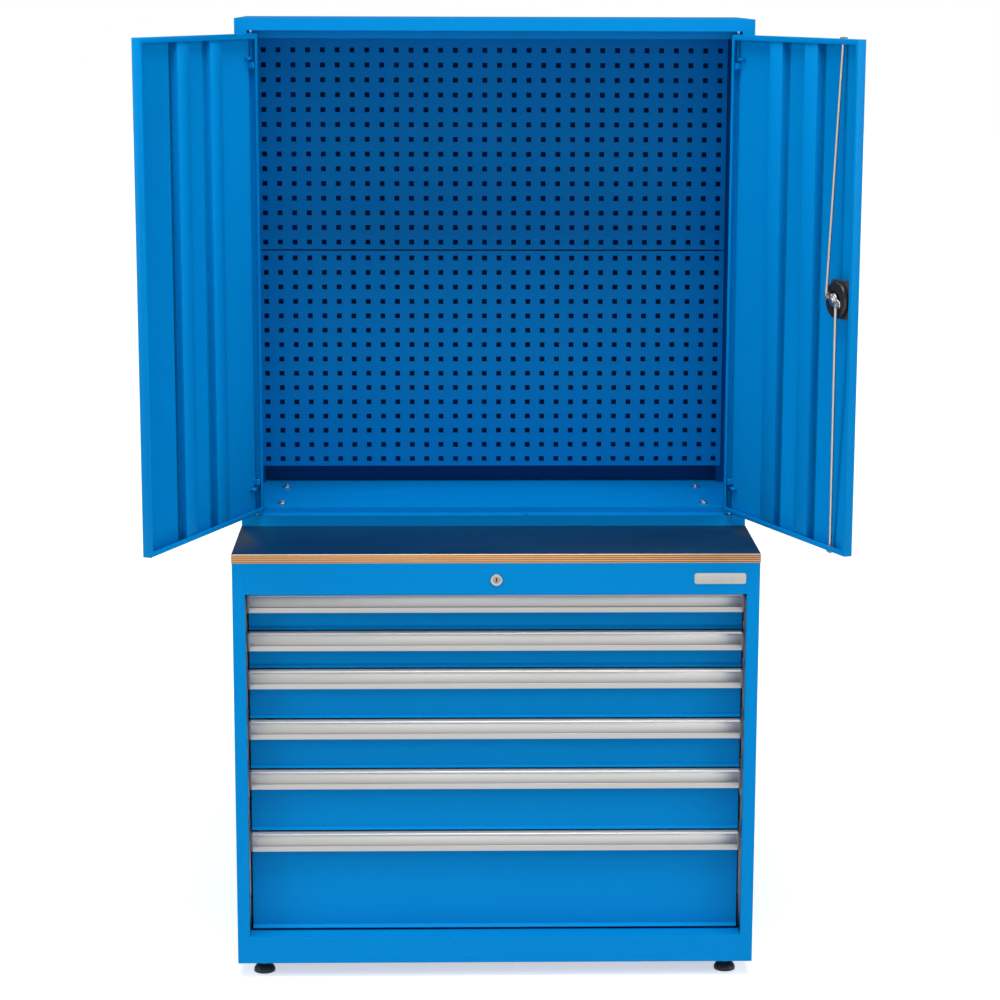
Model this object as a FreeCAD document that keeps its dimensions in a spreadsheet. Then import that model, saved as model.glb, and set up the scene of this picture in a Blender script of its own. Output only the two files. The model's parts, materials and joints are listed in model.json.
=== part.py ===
import FreeCAD, Part
import os
import re
import Sketcher

# Tool cabinet: a base with six drawers under a plywood worktop, and an upper
# cabinet with two hinged doors and perforated panels. It is stored with its
# doors open and its drawers shut. Millimetres, +X to the right, +Y to the back.

SIZES = [
    # whole cabinet
    ("cabinet_width", 1000.0, "outside width of the base and of the upper cabinet"),
    ("cabinet_depth", 600.0, "depth of the base over its front and back"),
    ("sheet", 1.5, "sheet steel of both carcasses"),
    ("thin_sheet", 1.2, "sheet steel of doors, drawers and perforated panels"),
    ("hole_overrun", 5.0, "how far a cutting tool passes beyond the sheet that it cuts"),
    ("seat_gap", 0.3, "clearance beside a piece that slides or stands free"),
    ("pin_clearance", 0.05, "radial clearance of a turning pin"),
    # feet
    ("foot_height", 32.0, "floor to the underside of the base"),
    ("foot_inset", 48.0, "foot centre from the outside faces"),
    ("pad_radius", 21.0, "radius of a levelling pad"),
    ("pad_neck_radius", 14.0, "radius of the pad's shoulder"),
    ("pad_rim", 4.0, "height of the pad's straight rim"),
    ("pad_height", 15.0, "height of the pad"),
    ("stud_radius", 5.0, "radius of the levelling stud"),
    ("stud_length", 40.0, "length of the stud above the pad"),
    ("nut_radius", 9.0, "radius over the corners of the stud's nut"),
    ("nut_height", 8.0, "height of the stud's nut"),
    # base carcass
    ("carcass_height", 795.0, "height of the base carcass"),
    ("stile_width", 23.5, "front stile of the base"),
    ("stile_return", 12.0, "depth of the stile's folded edge"),
    ("back_flange", 20.0, "rear flange of a side"),
    ("foot_flange", 20.0, "bottom and top flange of a side"),
    ("rail_height", 60.5, "face of the top rail"),
    ("rail_depth", 30.0, "flanges of the top rail"),
    ("plinth_height", 54.0, "face of the bottom rail"),
    ("plinth_depth", 40.0, "flanges of the bottom rail"),
    ("post_width", 30.0, "runner post, front to back"),
    ("post_inset", 70.0, "runner post from the front and the back"),
    # worktop
    ("worktop_thickness", 18.0, "plywood of the worktop"),
    ("worktop_overhang", 1.0, "worktop beyond each side"),
    # drawers
    ("stack_gap", 3.0, "free height above and below the stack of drawer spaces"),
    ("drawer_gap_below", 1.6, "front above the bottom of its space"),
    ("drawer_gap_above", 2.4, "front below the top of its space"),
    ("front_recess", 44.0, "drawer front behind the face of the stiles"),
    ("front_side_gap", 4.0, "drawer front to the stile"),
    ("front_return", 14.0, "folded edge of the drawer front"),
    ("flare_height", 6.0, "bottom edge of the front, height of its flare"),
    ("flare_depth", 8.0, "bottom edge of the front, depth of its flare"),
    ("tray_length", 515.0, "length of the drawer tray"),
    ("tray_below_front", 5.0, "tray floor above the bottom of the front"),
    ("tray_below_top", 12.0, "tray wall below the top of the front"),
    ("drawer_travel", 500.0, "how far a drawer pulls out"),
    # slides
    ("slide_height", 44.0, "height of the outer slide member"),
    ("slide_depth", 12.0, "width of the outer slide member"),
    ("slide_start", 60.0, "front end of the slides behind the stile face"),
    ("slide_length", 500.0, "length of the slides"),
    ("slide_low", 10.0, "slide above the bottom of its drawer front"),
    # handles
    ("handle_height", 35.4, "height of a handle"),
    ("handle_depth", 20.0, "how far a handle stands off the drawer front"),
    ("handle_wall", 2.4, "wall of the extrusion"),
    ("handle_nose", 3.0, "rounding of the top front edge"),
    ("label_top", 4.6, "top of the label strip below the handle's top"),
    ("label_height", 20.8, "height of the label strip"),
    ("label_recess", 0.9, "depth of the label strip"),
    ("cap_thickness", 4.6, "thickness of an end cap"),
    ("cap_overlap", 2.0, "end cap inside the side edge of the drawer front"),
    ("cap_proud", 2.6, "end cap in front of the handle's face"),
    # central drawer lock
    ("lock_below_top", 32.0, "lock centre below the top of the base"),
    ("lock_radius", 11.5, "flange of the lock cylinder"),
    ("lock_flange", 2.0, "flange of the lock in front of the rail"),
    ("lock_barrel", 9.0, "radius of the lock barrel"),
    ("lock_length", 26.0, "length of the barrel behind the rail"),
    ("plug_radius", 6.0, "radius of the key plug"),
    ("plug_tail", 6.0, "plug behind the barrel"),
    ("plug_throw", 8.0, "radius of the plug's eccentric pin"),
    ("plug_pin", 2.0, "radius of the eccentric pin"),
    ("key_slot_width", 1.6, "width of a key slot"),
    ("key_slot_height", 7.0, "height of a key slot"),
    ("key_slot_depth", 4.0, "depth of a key slot"),
    ("bar_width", 20.0, "width of the lock bar"),
    ("bar_thickness", 3.0, "thickness of the lock bar"),
    ("bar_back_gap", 8.0, "lock bar to the back sheet"),
    ("bar_guide_width", 5.0, "lug beside the lock bar"),
    ("bar_guide_height", 30.0, "height of a guide of the lock bar"),
    ("catch_reach", 8.0, "length of a catch on the bar"),
    ("catch_free", 1.0, "free height between a catch and its drawer"),
    ("catch_play", 1.6, "play between a catch's lip and the drawer's hook"),
    ("catch_width", 30.0, "width of a catch"),
    # name plate
    ("plate_width", 98.0, "bare plate on the top rail"),
    ("plate_height", 21.0, "height of the plate"),
    ("plate_thickness", 1.2, "thickness of the plate"),
    ("plate_corner", 4.0, "corner radius of the plate"),
    ("plate_edge", 3.0, "plate to the stile"),
    ("plate_below_top", 30.0, "plate centre below the top of the base"),
    # upper cabinet
    ("hutch_height", 992.0, "height of the upper cabinet"),
    ("hutch_setback", 265.0, "upper front behind the base front"),
    ("hutch_stile", 24.0, "front stile of the upper cabinet"),
    ("hutch_stile_return", 14.0, "depth of its folded edge"),
    ("hutch_rail", 23.0, "front rail under the roof"),
    ("ledge_depth", 31.0, "depth of the ledge and of the rail's return"),
    ("stop_height", 15.0, "door stop under the rail"),
    ("sill_height", 21.5, "front of the sill"),
    ("step_height", 11.0, "step from the ledge up to the floor"),
    ("bolt_inset_x", 76.0, "floor bolts from the outside"),
    ("bolt_front", 70.0, "front floor bolts behind the upper front"),
    ("bolt_rear", 245.0, "rear floor bolts behind the upper front"),
    ("bolt_radius", 4.0, "shank of a floor bolt"),
    ("bolt_head_radius", 6.5, "head of a floor bolt"),
    ("bolt_head_height", 5.0, "height of the head"),
    ("washer_radius", 9.0, "washer under the head"),
    ("washer_thickness", 1.6, "thickness of the washer"),
    # perforated panels
    ("peg_setback", 302.0, "face of the perforated panels behind the upper front"),
    ("peg_pitch", 30.0, "spacing of the square holes"),
    ("peg_hole", 10.0, "side of a square hole"),
    ("peg_columns", 32.0, "holes across"),
    ("peg_rows", 15.0, "holes up one panel"),
    ("peg_low", 912.5, "bottom edge of the lower panel above the ground"),
    ("peg_seam", 2.6, "gap between the two panels"),
    ("peg_return", 15.0, "folded edge of a panel"),
    ("peg_side_cut", 12.0, "panel's folded edge, short of its side"),
    ("support_width", 27.0, "face of a panel support"),
    # doors
    ("door_open", 112.0, "angle at which the doors stand open"),
    ("pivot_inset", 31.5, "hinge pin from the cabinet's side"),
    ("pivot_depth", 4.5, "hinge pin behind the door's face"),
    ("door_beyond_pin", 5.0, "door beyond its pin towards the stile"),
    ("door_centre_gap", 1.5, "half of the gap between the closed doors"),
    ("door_bottom_gap", 8.0, "door above the ledge"),
    ("door_top_gap", 6.0, "door below the rail"),
    ("door_pan", 16.0, "thickness of a door"),
    ("door_lip", 10.0, "inner lip of a door"),
    ("rib_top", 47.0, "flat top of a stiffener"),
    ("rib_height", 12.0, "height of a stiffener"),
    ("rib_flange", 12.0, "flange of a stiffener"),
    ("rib_one", 165.0, "centre of the first stiffener from the pin"),
    ("rib_two", 296.0, "centre of the second stiffener from the pin"),
    ("pin_radius", 3.0, "radius of a hinge pin"),
    ("pin_above", 11.0, "hinge pin beyond the edge of the door"),
    ("pin_length", 66.0, "length of a hinge pin inside the door"),
    ("knob_reach", 22.0, "bent end of a hinge pin"),
    ("knob_rise", 7.5, "grip of the bent end"),
    ("knob_place", 47.0, "bent end from the edge of the door"),
    ("bracket_height", 12.0, "height of a pin bracket"),
    ("bracket_width", 13.0, "width of a pin bracket"),
    # rod lock of the right door
    ("lock_from_pin", 421.0, "lock spindle from the hinge pin"),
    ("lock_above_ground", 1342.0, "height of the lock spindle"),
    ("housing_width", 66.0, "case of the lock housing"),
    ("housing_height", 70.0, "upright length of the case"),
    ("housing_base", 12.3, "height of the housing's case on the door's skin"),
    ("housing_corner", 7.0, "corner radius of the case"),
    ("drum_radius", 33.0, "radius of the housing's drum"),
    ("drum_height", 10.8, "height of the drum above the case"),
    ("spindle_radius", 5.0, "radius of the lock spindle"),
    ("cam_thickness", 3.0, "thickness of the cam"),
    ("cam_hub_radius", 9.0, "radius of the cam's hub"),
    ("cam_hub_height", 6.0, "height of the cam's hub"),
    ("cam_arm", 18.2, "cam pin from the spindle"),
    ("cam_width", 11.0, "width of the cam's arms"),
    ("cam_angle", 159.0, "direction of the upper rod's pin, seen from inside"),
    ("cam_pin", 2.5, "radius of a cam pin"),
    ("rod_radius", 3.0, "radius of a locking rod"),
    ("eye_radius", 6.0, "radius of a rod's flattened eye"),
    ("rod_hole_from_pin", 405.0, "rods' way through the door's edges, from the hinge pin"),
    ("rod_behind_lip", 5.3, "axis of a rod behind the door's lip, at the door's edge"),
    ("rod_top_gap", 2.5, "upper rod below the roof rail, unlocked"),
    ("rod_bottom_gap", 2.5, "lower rod above the ledge, unlocked"),
    ("guide_width", 15.0, "width of a rod guide"),
    ("guide_height", 10.0, "height of a rod guide"),
    ("guide_slack", 1.0, "play of a rod in its guide"),
    ("guide_swing", 3.5, "sideways room of a rod in its guide"),
    ("guide_cap", 3.0, "guide beyond the edge of the door"),
    ("guide_wall", 1.0, "wall of a guide behind the rod"),
    ("strike_slack", 2.3, "play of a rod in its strike hole"),
    # door handle
    ("rose_radius", 22.0, "radius of the handle's rose"),
    ("rose_thickness", 3.0, "thickness of the rose"),
    ("grip_length", 78.0, "length of the lever from its hub"),
    ("grip_width", 17.0, "width of the lever"),
    ("grip_thickness", 7.0, "thickness of the lever"),
    ("hub_radius", 12.0, "radius of the lever's hub"),
    ("hub_neck", 2.3, "height of the hub between rose and lever"),
    ("key_radius", 6.5, "radius of the door's key plug"),
    ("key_depth", 9.0, "depth of the door's key plug"),
]

# places that follow from the sizes above, in the order in which they build up
PLACES = [
    ("half_width", "cabinet_width / 2"),
    ("door_free_edge", "half_width - pivot_inset - door_centre_gap"),
    ("door_width", "door_free_edge + door_beyond_pin"),
    ("door_reach", "door_free_edge * sin(door_open) - (door_pan - pivot_depth) * cos(door_open) - pivot_depth"),
    ("hutch_depth", "cabinet_depth - hutch_setback"),
    ("hutch_front", "(door_reach - hutch_depth) / 2"),
    ("base_front", "hutch_front - hutch_setback"),
    ("base_back", "base_front + cabinet_depth"),
    ("inner_half", "half_width - sheet"),
    ("carcass_top", "foot_height + carcass_height"),
    ("rail_bottom", "carcass_top - rail_height"),
    ("plinth_top", "foot_height + plinth_height"),
    ("opening_half", "half_width - stile_width"),
    ("opening_height", "rail_bottom - plinth_top"),
    ("stack_bottom", "plinth_top + stack_gap"),
    ("stack_height", "opening_height - 2 * stack_gap"),
    ("worktop_top", "carcass_top + worktop_thickness"),
    ("floor_front", "base_front + sheet"),
    ("back_sheet", "base_back - sheet - thin_sheet"),
    # slides, from the post inwards
    ("slide_outer", "opening_half + thin_sheet"),
    ("slide_inner", "slide_outer - slide_depth"),
    ("mid_outer", "slide_outer - sheet - seat_gap"),
    ("mid_half_height", "slide_height / 2 - sheet - seat_gap"),
    ("mid_inner", "slide_inner + seat_gap"),
    ("drawer_slide_outer", "mid_outer - sheet - seat_gap"),
    ("drawer_slide_half_height", "mid_half_height - sheet - seat_gap"),
    ("tray_half", "slide_inner - 2 * thin_sheet"),
    ("slide_front", "base_front + slide_start"),
    # drawers
    ("front_face", "base_front + front_recess"),
    ("front_half", "opening_half - front_side_gap"),
    ("tray_front", "front_face + thin_sheet"),
    ("handle_face", "front_face - handle_depth"),
    # lock bar and catches
    ("lock_height", "carcass_top - lock_below_top"),
    ("plate_centre", "carcass_top - plate_below_top"),
    ("bar_back", "back_sheet - bar_back_gap"),
    ("bar_front", "bar_back - bar_width"),
    ("catch_front", "bar_front - catch_reach"),
    ("hook_front", "catch_front + thin_sheet + catch_play"),
    ("hook_above", "thin_sheet + plug_throw + catch_free"),
    # upper cabinet
    ("hutch_top", "worktop_top + hutch_height"),
    ("hutch_back_sheet", "base_back - sheet - thin_sheet"),
    ("hutch_rail_bottom", "hutch_top - hutch_rail"),
    ("ledge_top", "worktop_top + sill_height"),
    ("hutch_floor_top", "ledge_top + step_height"),
    ("hutch_opening_half", "half_width - hutch_stile"),
    ("peg_face", "hutch_front + peg_setback"),
    ("peg_panel_width", "peg_columns * peg_pitch"),
    ("peg_panel_height", "peg_rows * peg_pitch"),
    ("peg_top", "peg_low + 2 * peg_panel_height + peg_seam"),
    # doors
    ("pivot_x", "half_width - pivot_inset"),
    ("pivot_y", "hutch_front + pivot_depth"),
    ("door_bottom", "ledge_top + door_bottom_gap"),
    ("door_top", "hutch_rail_bottom - door_top_gap"),
    ("door_height", "door_top - door_bottom"),
    ("door_skin", "thin_sheet - pivot_depth"),
    ("door_inside", "door_pan - pivot_depth"),
    # rod lock, in the door's own frame
    ("drum_front", "door_skin + housing_base"),
    ("cam_back", "drum_front + drum_height + seat_gap"),
    ("cam_front", "cam_back + cam_thickness"),
    ("rod_line", "cam_front + 2 * seat_gap + rod_radius"),
    ("rod_end_line", "door_inside - thin_sheet - rod_behind_lip"),
    ("way_back", "rod_end_line - rod_radius - guide_slack"),
    ("way_front", "rod_end_line + rod_radius + guide_slack + seat_gap"),
    ("guide_left", "rod_hole_from_pin - guide_width / 2"),
    ("eye_half", "rod_radius * 2 / 3"),
    ("cam_pin_x", "-cam_arm * cos(cam_angle)"),
    ("cam_pin_z", "cam_arm * sin(cam_angle)"),
    ("rod_top", "hutch_rail_bottom - rod_top_gap"),
    ("rod_bottom", "ledge_top + rod_bottom_gap"),
]

# spaces of the drawers, from the top down, in equal units of the stack's height
DRAWER_UNITS = [3, 3, 4, 4, 5, 8]
UNIT_TOTAL = sum(DRAWER_UNITS)

doc = FreeCAD.newDocument("ToolCabinet")
sizes = doc.addObject("Spreadsheet::Sheet", "Sizes")
for row, (alias, value, meaning) in enumerate(SIZES, 1):
    sizes.set("A%d" % row, meaning)
    sizes.set("B%d" % row, str(value))
    sizes.setAlias("B%d" % row, alias)
doc.recompute()

SHEET_OF = {alias: "Sizes." + alias for alias, value, meaning in SIZES}


def linked(text):
    """An expression of this document, from plain names and numbers."""
    return re.sub(r"[a-z][a-z0-9_]*", lambda word: SHEET_OF.get(word.group(), word.group()), text)


places = doc.addObject("Spreadsheet::Sheet", "Places")
for row, (alias, text) in enumerate(PLACES, 1):
    places.set("B%d" % row, "=" + linked(text))
    places.setAlias("B%d" % row, alias)
    SHEET_OF[alias] = "Places." + alias
doc.recompute()


def number(text):
    """The value that an expression has now."""
    return float(sizes.evalExpression(linked(text)))


def place(shape, x="0", y="0", z="0"):
    """Sets where a shape stands, bound to the sheets."""
    for axis, text in zip("xyz", (x, y, z)):
        shape.setExpression("Placement.Base." + axis, linked(text))
    return shape


def turn(shape, axis, text):
    """Turns a shape about an axis through its own origin."""
    base = shape.Placement.Base
    shape.Placement = FreeCAD.Placement(base, FreeCAD.Rotation(FreeCAD.Vector(*axis), 1))
    shape.setExpression("Placement.Rotation.Angle", linked(text))
    return shape


def block(x, y, z, length, width, height):
    """A box from its lowest corner, its sizes along X, Y and Z."""
    box = doc.addObject("Part::Box", "Block")
    box.setExpression("Length", linked(length))
    box.setExpression("Width", linked(width))
    box.setExpression("Height", linked(height))
    return place(box, x, y, z)


def bar(x, y, z, radius, length, along="z"):
    """A round bar from the centre of its first end."""
    round_bar = doc.addObject("Part::Cylinder", "Bar")
    if along == "x":
        round_bar.Placement.Rotation = FreeCAD.Rotation(FreeCAD.Vector(0, 1, 0), 90)
    if along == "y":
        round_bar.Placement.Rotation = FreeCAD.Rotation(FreeCAD.Vector(1, 0, 0), -90)
    round_bar.setExpression("Radius", linked(radius))
    round_bar.setExpression("Height", linked(length))
    return place(round_bar, x, y, z)


def joined(*shapes):
    """One solid of several shapes."""
    whole = doc.addObject("Part::MultiFuse", "Joined")
    whole.Shapes = list(shapes)
    whole.Refine = True
    return whole


def holed(base, *tools):
    """A shape with others cut out of it."""
    tool = tools[0]
    if len(tools) > 1:
        tool = doc.addObject("Part::Compound", "Tools")
        tool.Links = list(tools)
    rest = doc.addObject("Part::Cut", "Holed")
    rest.Base = base
    rest.Tool = tool
    rest.Refine = True
    return rest


def group(*shapes):
    """Several separate solids of one kind."""
    whole = doc.addObject("Part::Compound", "Group")
    whole.Links = list(shapes)
    return whole


def profile(name, plane, outline, length, centred=False):
    """A straight section: a closed outline on one of the body's planes, padded by a length."""
    body = doc.addObject("PartDesign::Body", name)
    sketch = body.newObject("Sketcher::SketchObject", name + "_outline")
    datum = [feature for feature in body.Origin.OriginFeatures if feature.Role == plane]
    sketch.AttachmentSupport = (datum[0], [""])
    sketch.MapMode = "FlatFace"
    corners = [FreeCAD.Vector(number(across), number(up), 0) for across, up in outline]
    count = len(corners)
    for index, corner in enumerate(corners):
        sketch.addGeometry(Part.LineSegment(corner, corners[(index + 1) % count]), False)
    for index in range(count):
        sketch.addConstraint(Sketcher.Constraint("Coincident", index, 2, (index + 1) % count, 1))
    for index, (across, up) in enumerate(outline):
        for kind, value, text in (("DistanceX", corners[index].x, across), ("DistanceY", corners[index].y, up)):
            rule = sketch.addConstraint(Sketcher.Constraint(kind, -1, 1, index, 1, value))
            sketch.setExpression("Constraints[%d]" % rule, linked(text))
    pad = body.newObject("PartDesign::Pad", name + "_pad")
    pad.Profile = sketch
    pad.setExpression("Length", linked(length))
    pad.Midplane = centred
    sketch.Visibility = False
    return body


def mirrored(shape):
    """The same piece on the other side of the cabinet."""
    other = doc.addObject("Part::Mirroring", "Mirrored")
    other.Source = shape
    other.Normal = (1, 0, 0)
    return other


def rounded(shape, axis, radius):
    """The shape with its straight edges along an axis rounded."""
    doc.recompute()
    direction = FreeCAD.Vector(*axis)
    size = number(radius)
    chosen = []
    for index, edge in enumerate(shape.Shape.Edges, 1):
        if abs(edge.tangentAt(edge.FirstParameter).dot(direction)) > edge.Length / (edge.Length + size):
            chosen.append((index, size, size))
    smooth = doc.addObject("Part::Fillet", "Rounded")
    smooth.Base = shape
    smooth.Edges = chosen
    return smooth


PIECES = []


def piece(label, shape):
    """Names a finished piece; its label is its node's name."""
    shape.Label = label
    PIECES.append(shape)
    return shape


# Base carcass: each side is one folded sheet, with the stile in front

def carcass_side():
    wall = block("inner_half", "base_front", "foot_height", "sheet", "cabinet_depth", "carcass_height")
    stile = block("opening_half", "base_front", "foot_height", "stile_width", "sheet", "carcass_height")
    fold = block("opening_half", "base_front", "foot_height + 2 * sheet", "sheet", "stile_return",
                 "carcass_height - 2 * sheet")
    rear = block("half_width - back_flange", "base_back - sheet", "foot_height", "back_flange", "sheet",
                 "carcass_height")
    low = block("half_width - foot_flange", "base_front + plinth_depth", "foot_height", "foot_flange",
                "cabinet_depth - plinth_depth", "sheet")
    top = block("half_width - foot_flange", "base_front + plinth_depth", "carcass_top - sheet", "foot_flange",
                "cabinet_depth - plinth_depth", "sheet")
    return joined(wall, stile, fold, rear, low, top)


right_side = piece("carcass_right_side", carcass_side())
piece("carcass_left_side", mirrored(carcass_side()))

back_plate = block("-inner_half", "back_sheet", "foot_height + sheet", "2 * inner_half", "thin_sheet",
                   "carcass_height - 2 * sheet")
bar_guides = []
for share in ("1 / 5", "4 / 5"):
    guide_low = "foot_height + carcass_height * " + share
    bar_guides.append(block("-bar_guide_width", "bar_back + seat_gap", guide_low, "2 * bar_guide_width",
                            "bar_back_gap - seat_gap", "bar_guide_height"))
    for lug in ("bar_thickness / 2 + seat_gap", "-bar_thickness / 2 - seat_gap - bar_guide_width"):
        bar_guides.append(block(lug, "bar_back - bar_width / 2", guide_low, "bar_guide_width",
                                "bar_width / 2 + bar_back_gap", "bar_guide_height"))
piece("carcass_back", joined(back_plate, *bar_guides))

rail_face = block("-opening_half", "base_front", "rail_bottom", "2 * opening_half", "sheet", "rail_height")
rail_low = block("-opening_half", "base_front", "rail_bottom", "2 * opening_half", "rail_depth", "sheet")
rail_top = block("-opening_half", "base_front", "carcass_top - sheet", "2 * opening_half", "rail_depth", "sheet")
lock_hole = bar("0", "base_front - hole_overrun", "lock_height", "lock_barrel + seat_gap",
                "2 * hole_overrun + sheet", "y")
piece("carcass_top_rail", holed(joined(rail_face, rail_low, rail_top), lock_hole))

plinth_face = block("-opening_half", "base_front", "foot_height", "2 * opening_half", "sheet", "plinth_height")
plinth_low = block("-opening_half", "base_front", "foot_height", "2 * opening_half", "plinth_depth", "sheet")
plinth_ledge = block("-opening_half", "base_front", "plinth_top - sheet", "2 * opening_half", "plinth_depth", "sheet")


def at_feet(make):
    """One shape over each foot: its x and y are handed on."""
    across = ("foot_inset - half_width", "half_width - foot_inset")
    along = ("base_front + foot_inset", "base_back - foot_inset")
    return [make(x, y) for x in across for y in along]


def stud_hole(x, y):
    return bar(x, y, "foot_height - hole_overrun", "stud_radius + seat_gap", "2 * hole_overrun")


piece("carcass_plinth", joined(plinth_face, plinth_low, plinth_ledge))
floor_sheet = block("-inner_half", "floor_front", "foot_height + sheet", "2 * inner_half",
                    "cabinet_depth - 2 * sheet - thin_sheet", "sheet")
piece("carcass_floor", holed(floor_sheet, *at_feet(stud_hole)))


def pad(x, y):
    rim = bar(x, y, "0", "pad_radius", "pad_rim")
    dome = doc.addObject("Part::Cone", "Dome")
    dome.setExpression("Radius1", linked("pad_radius"))
    dome.setExpression("Radius2", linked("pad_neck_radius"))
    dome.setExpression("Height", linked("pad_height - pad_rim"))
    place(dome, x, y, "pad_rim")
    return joined(rim, dome)


def nut(x, y, z):
    hexagon = doc.addObject("Part::Prism", "Nut")
    hexagon.setExpression("Circumradius", linked("nut_radius"))
    hexagon.setExpression("Height", linked("nut_height"))
    return place(hexagon, x, y, z)


def stud(x, y):
    shank = bar(x, y, "pad_height", "stud_radius", "stud_length")
    return joined(shank, nut(x, y, "foot_height - nut_height"))


piece("foot_pads", group(*at_feet(pad)))
piece("foot_studs", group(*at_feet(stud)))

# Runner posts and the outer slide members, which are screwed to them

post_outline = [
    ("inner_half", "0"),
    ("slide_outer", "0"),
    ("slide_outer", "post_width"),
    ("inner_half", "post_width"),
    ("inner_half", "post_width - sheet"),
    ("slide_outer + sheet", "post_width - sheet"),
    ("slide_outer + sheet", "sheet"),
    ("inner_half", "sheet"),
]


def post(y):
    upright = profile("Post", "XY_Plane", post_outline, "opening_height + plinth_height / 2")
    place(upright, "0", y, "foot_height + 2 * sheet")
    return upright


def posts():
    return [post("base_front + post_inset"), post("base_back - post_inset - post_width")]


piece("runner_posts", group(*posts(), *[mirrored(upright) for upright in posts()]))

drawer_spaces = []
units_below = UNIT_TOTAL
for units in DRAWER_UNITS:
    units_below = units_below - units
    bottom = "(stack_bottom + stack_height * %d / %d)" % (units_below, UNIT_TOTAL)
    height = "(stack_height * %d / %d)" % (units, UNIT_TOTAL)
    drawer_spaces.append((bottom, height))


def channel(outer, inner, half_height):
    """Outline of a slide member: a web outside and a flange above and below."""
    return [
        (outer, "-" + half_height),
        (outer, half_height),
        (inner, half_height),
        (inner, half_height + " - sheet"),
        (outer + " - sheet", half_height + " - sheet"),
        (outer + " - sheet", "sheet - " + half_height),
        (inner, "sheet - " + half_height),
        (inner, "-" + half_height),
    ]


def slide(name, outer, inner, half_height, y, z, length):
    member = profile(name, "XZ_Plane", channel(outer, inner, half_height), length)
    return place(member, "0", y + " + " + length, z)


def slide_centre(bottom):
    return bottom + " + drawer_gap_below + slide_low + slide_height / 2"


outer_members = []
for bottom, height in drawer_spaces:
    for flip in (False, True):
        member = slide("OuterMember", "slide_outer", "slide_inner", "(slide_height / 2)", "slide_front",
                       slide_centre(bottom), "slide_length")
        outer_members.append(mirrored(member) if flip else member)
piece("cabinet_rails", group(*outer_members))

# Worktop: a plywood board, with a hole for each bolt of the upper cabinet

BOLT_SIDES = ("bolt_inset_x - half_width", "half_width - bolt_inset_x")
BOLT_ROWS = ("hutch_front + bolt_front", "hutch_front + bolt_rear")


def at_bolts(make):
    return [make(x, y) for x in BOLT_SIDES for y in BOLT_ROWS]


board_outline = [
    ("-half_width - worktop_overhang", "base_front"),
    ("half_width + worktop_overhang", "base_front"),
    ("half_width + worktop_overhang", "base_back"),
    ("-half_width - worktop_overhang", "base_back"),
]
board = profile("Board", "XY_Plane", board_outline, "worktop_thickness")
place(board, "0", "0", "carcass_top")


def bolt_hole(x, y):
    return bar(x, y, "carcass_top - hole_overrun", "bolt_radius + seat_gap",
               "worktop_thickness + 2 * hole_overrun")


piece("worktop", holed(board, *at_bolts(bolt_hole)))

# Drawers: a flared front welded to a tray of flat sheets, carried on telescopic slides

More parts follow.
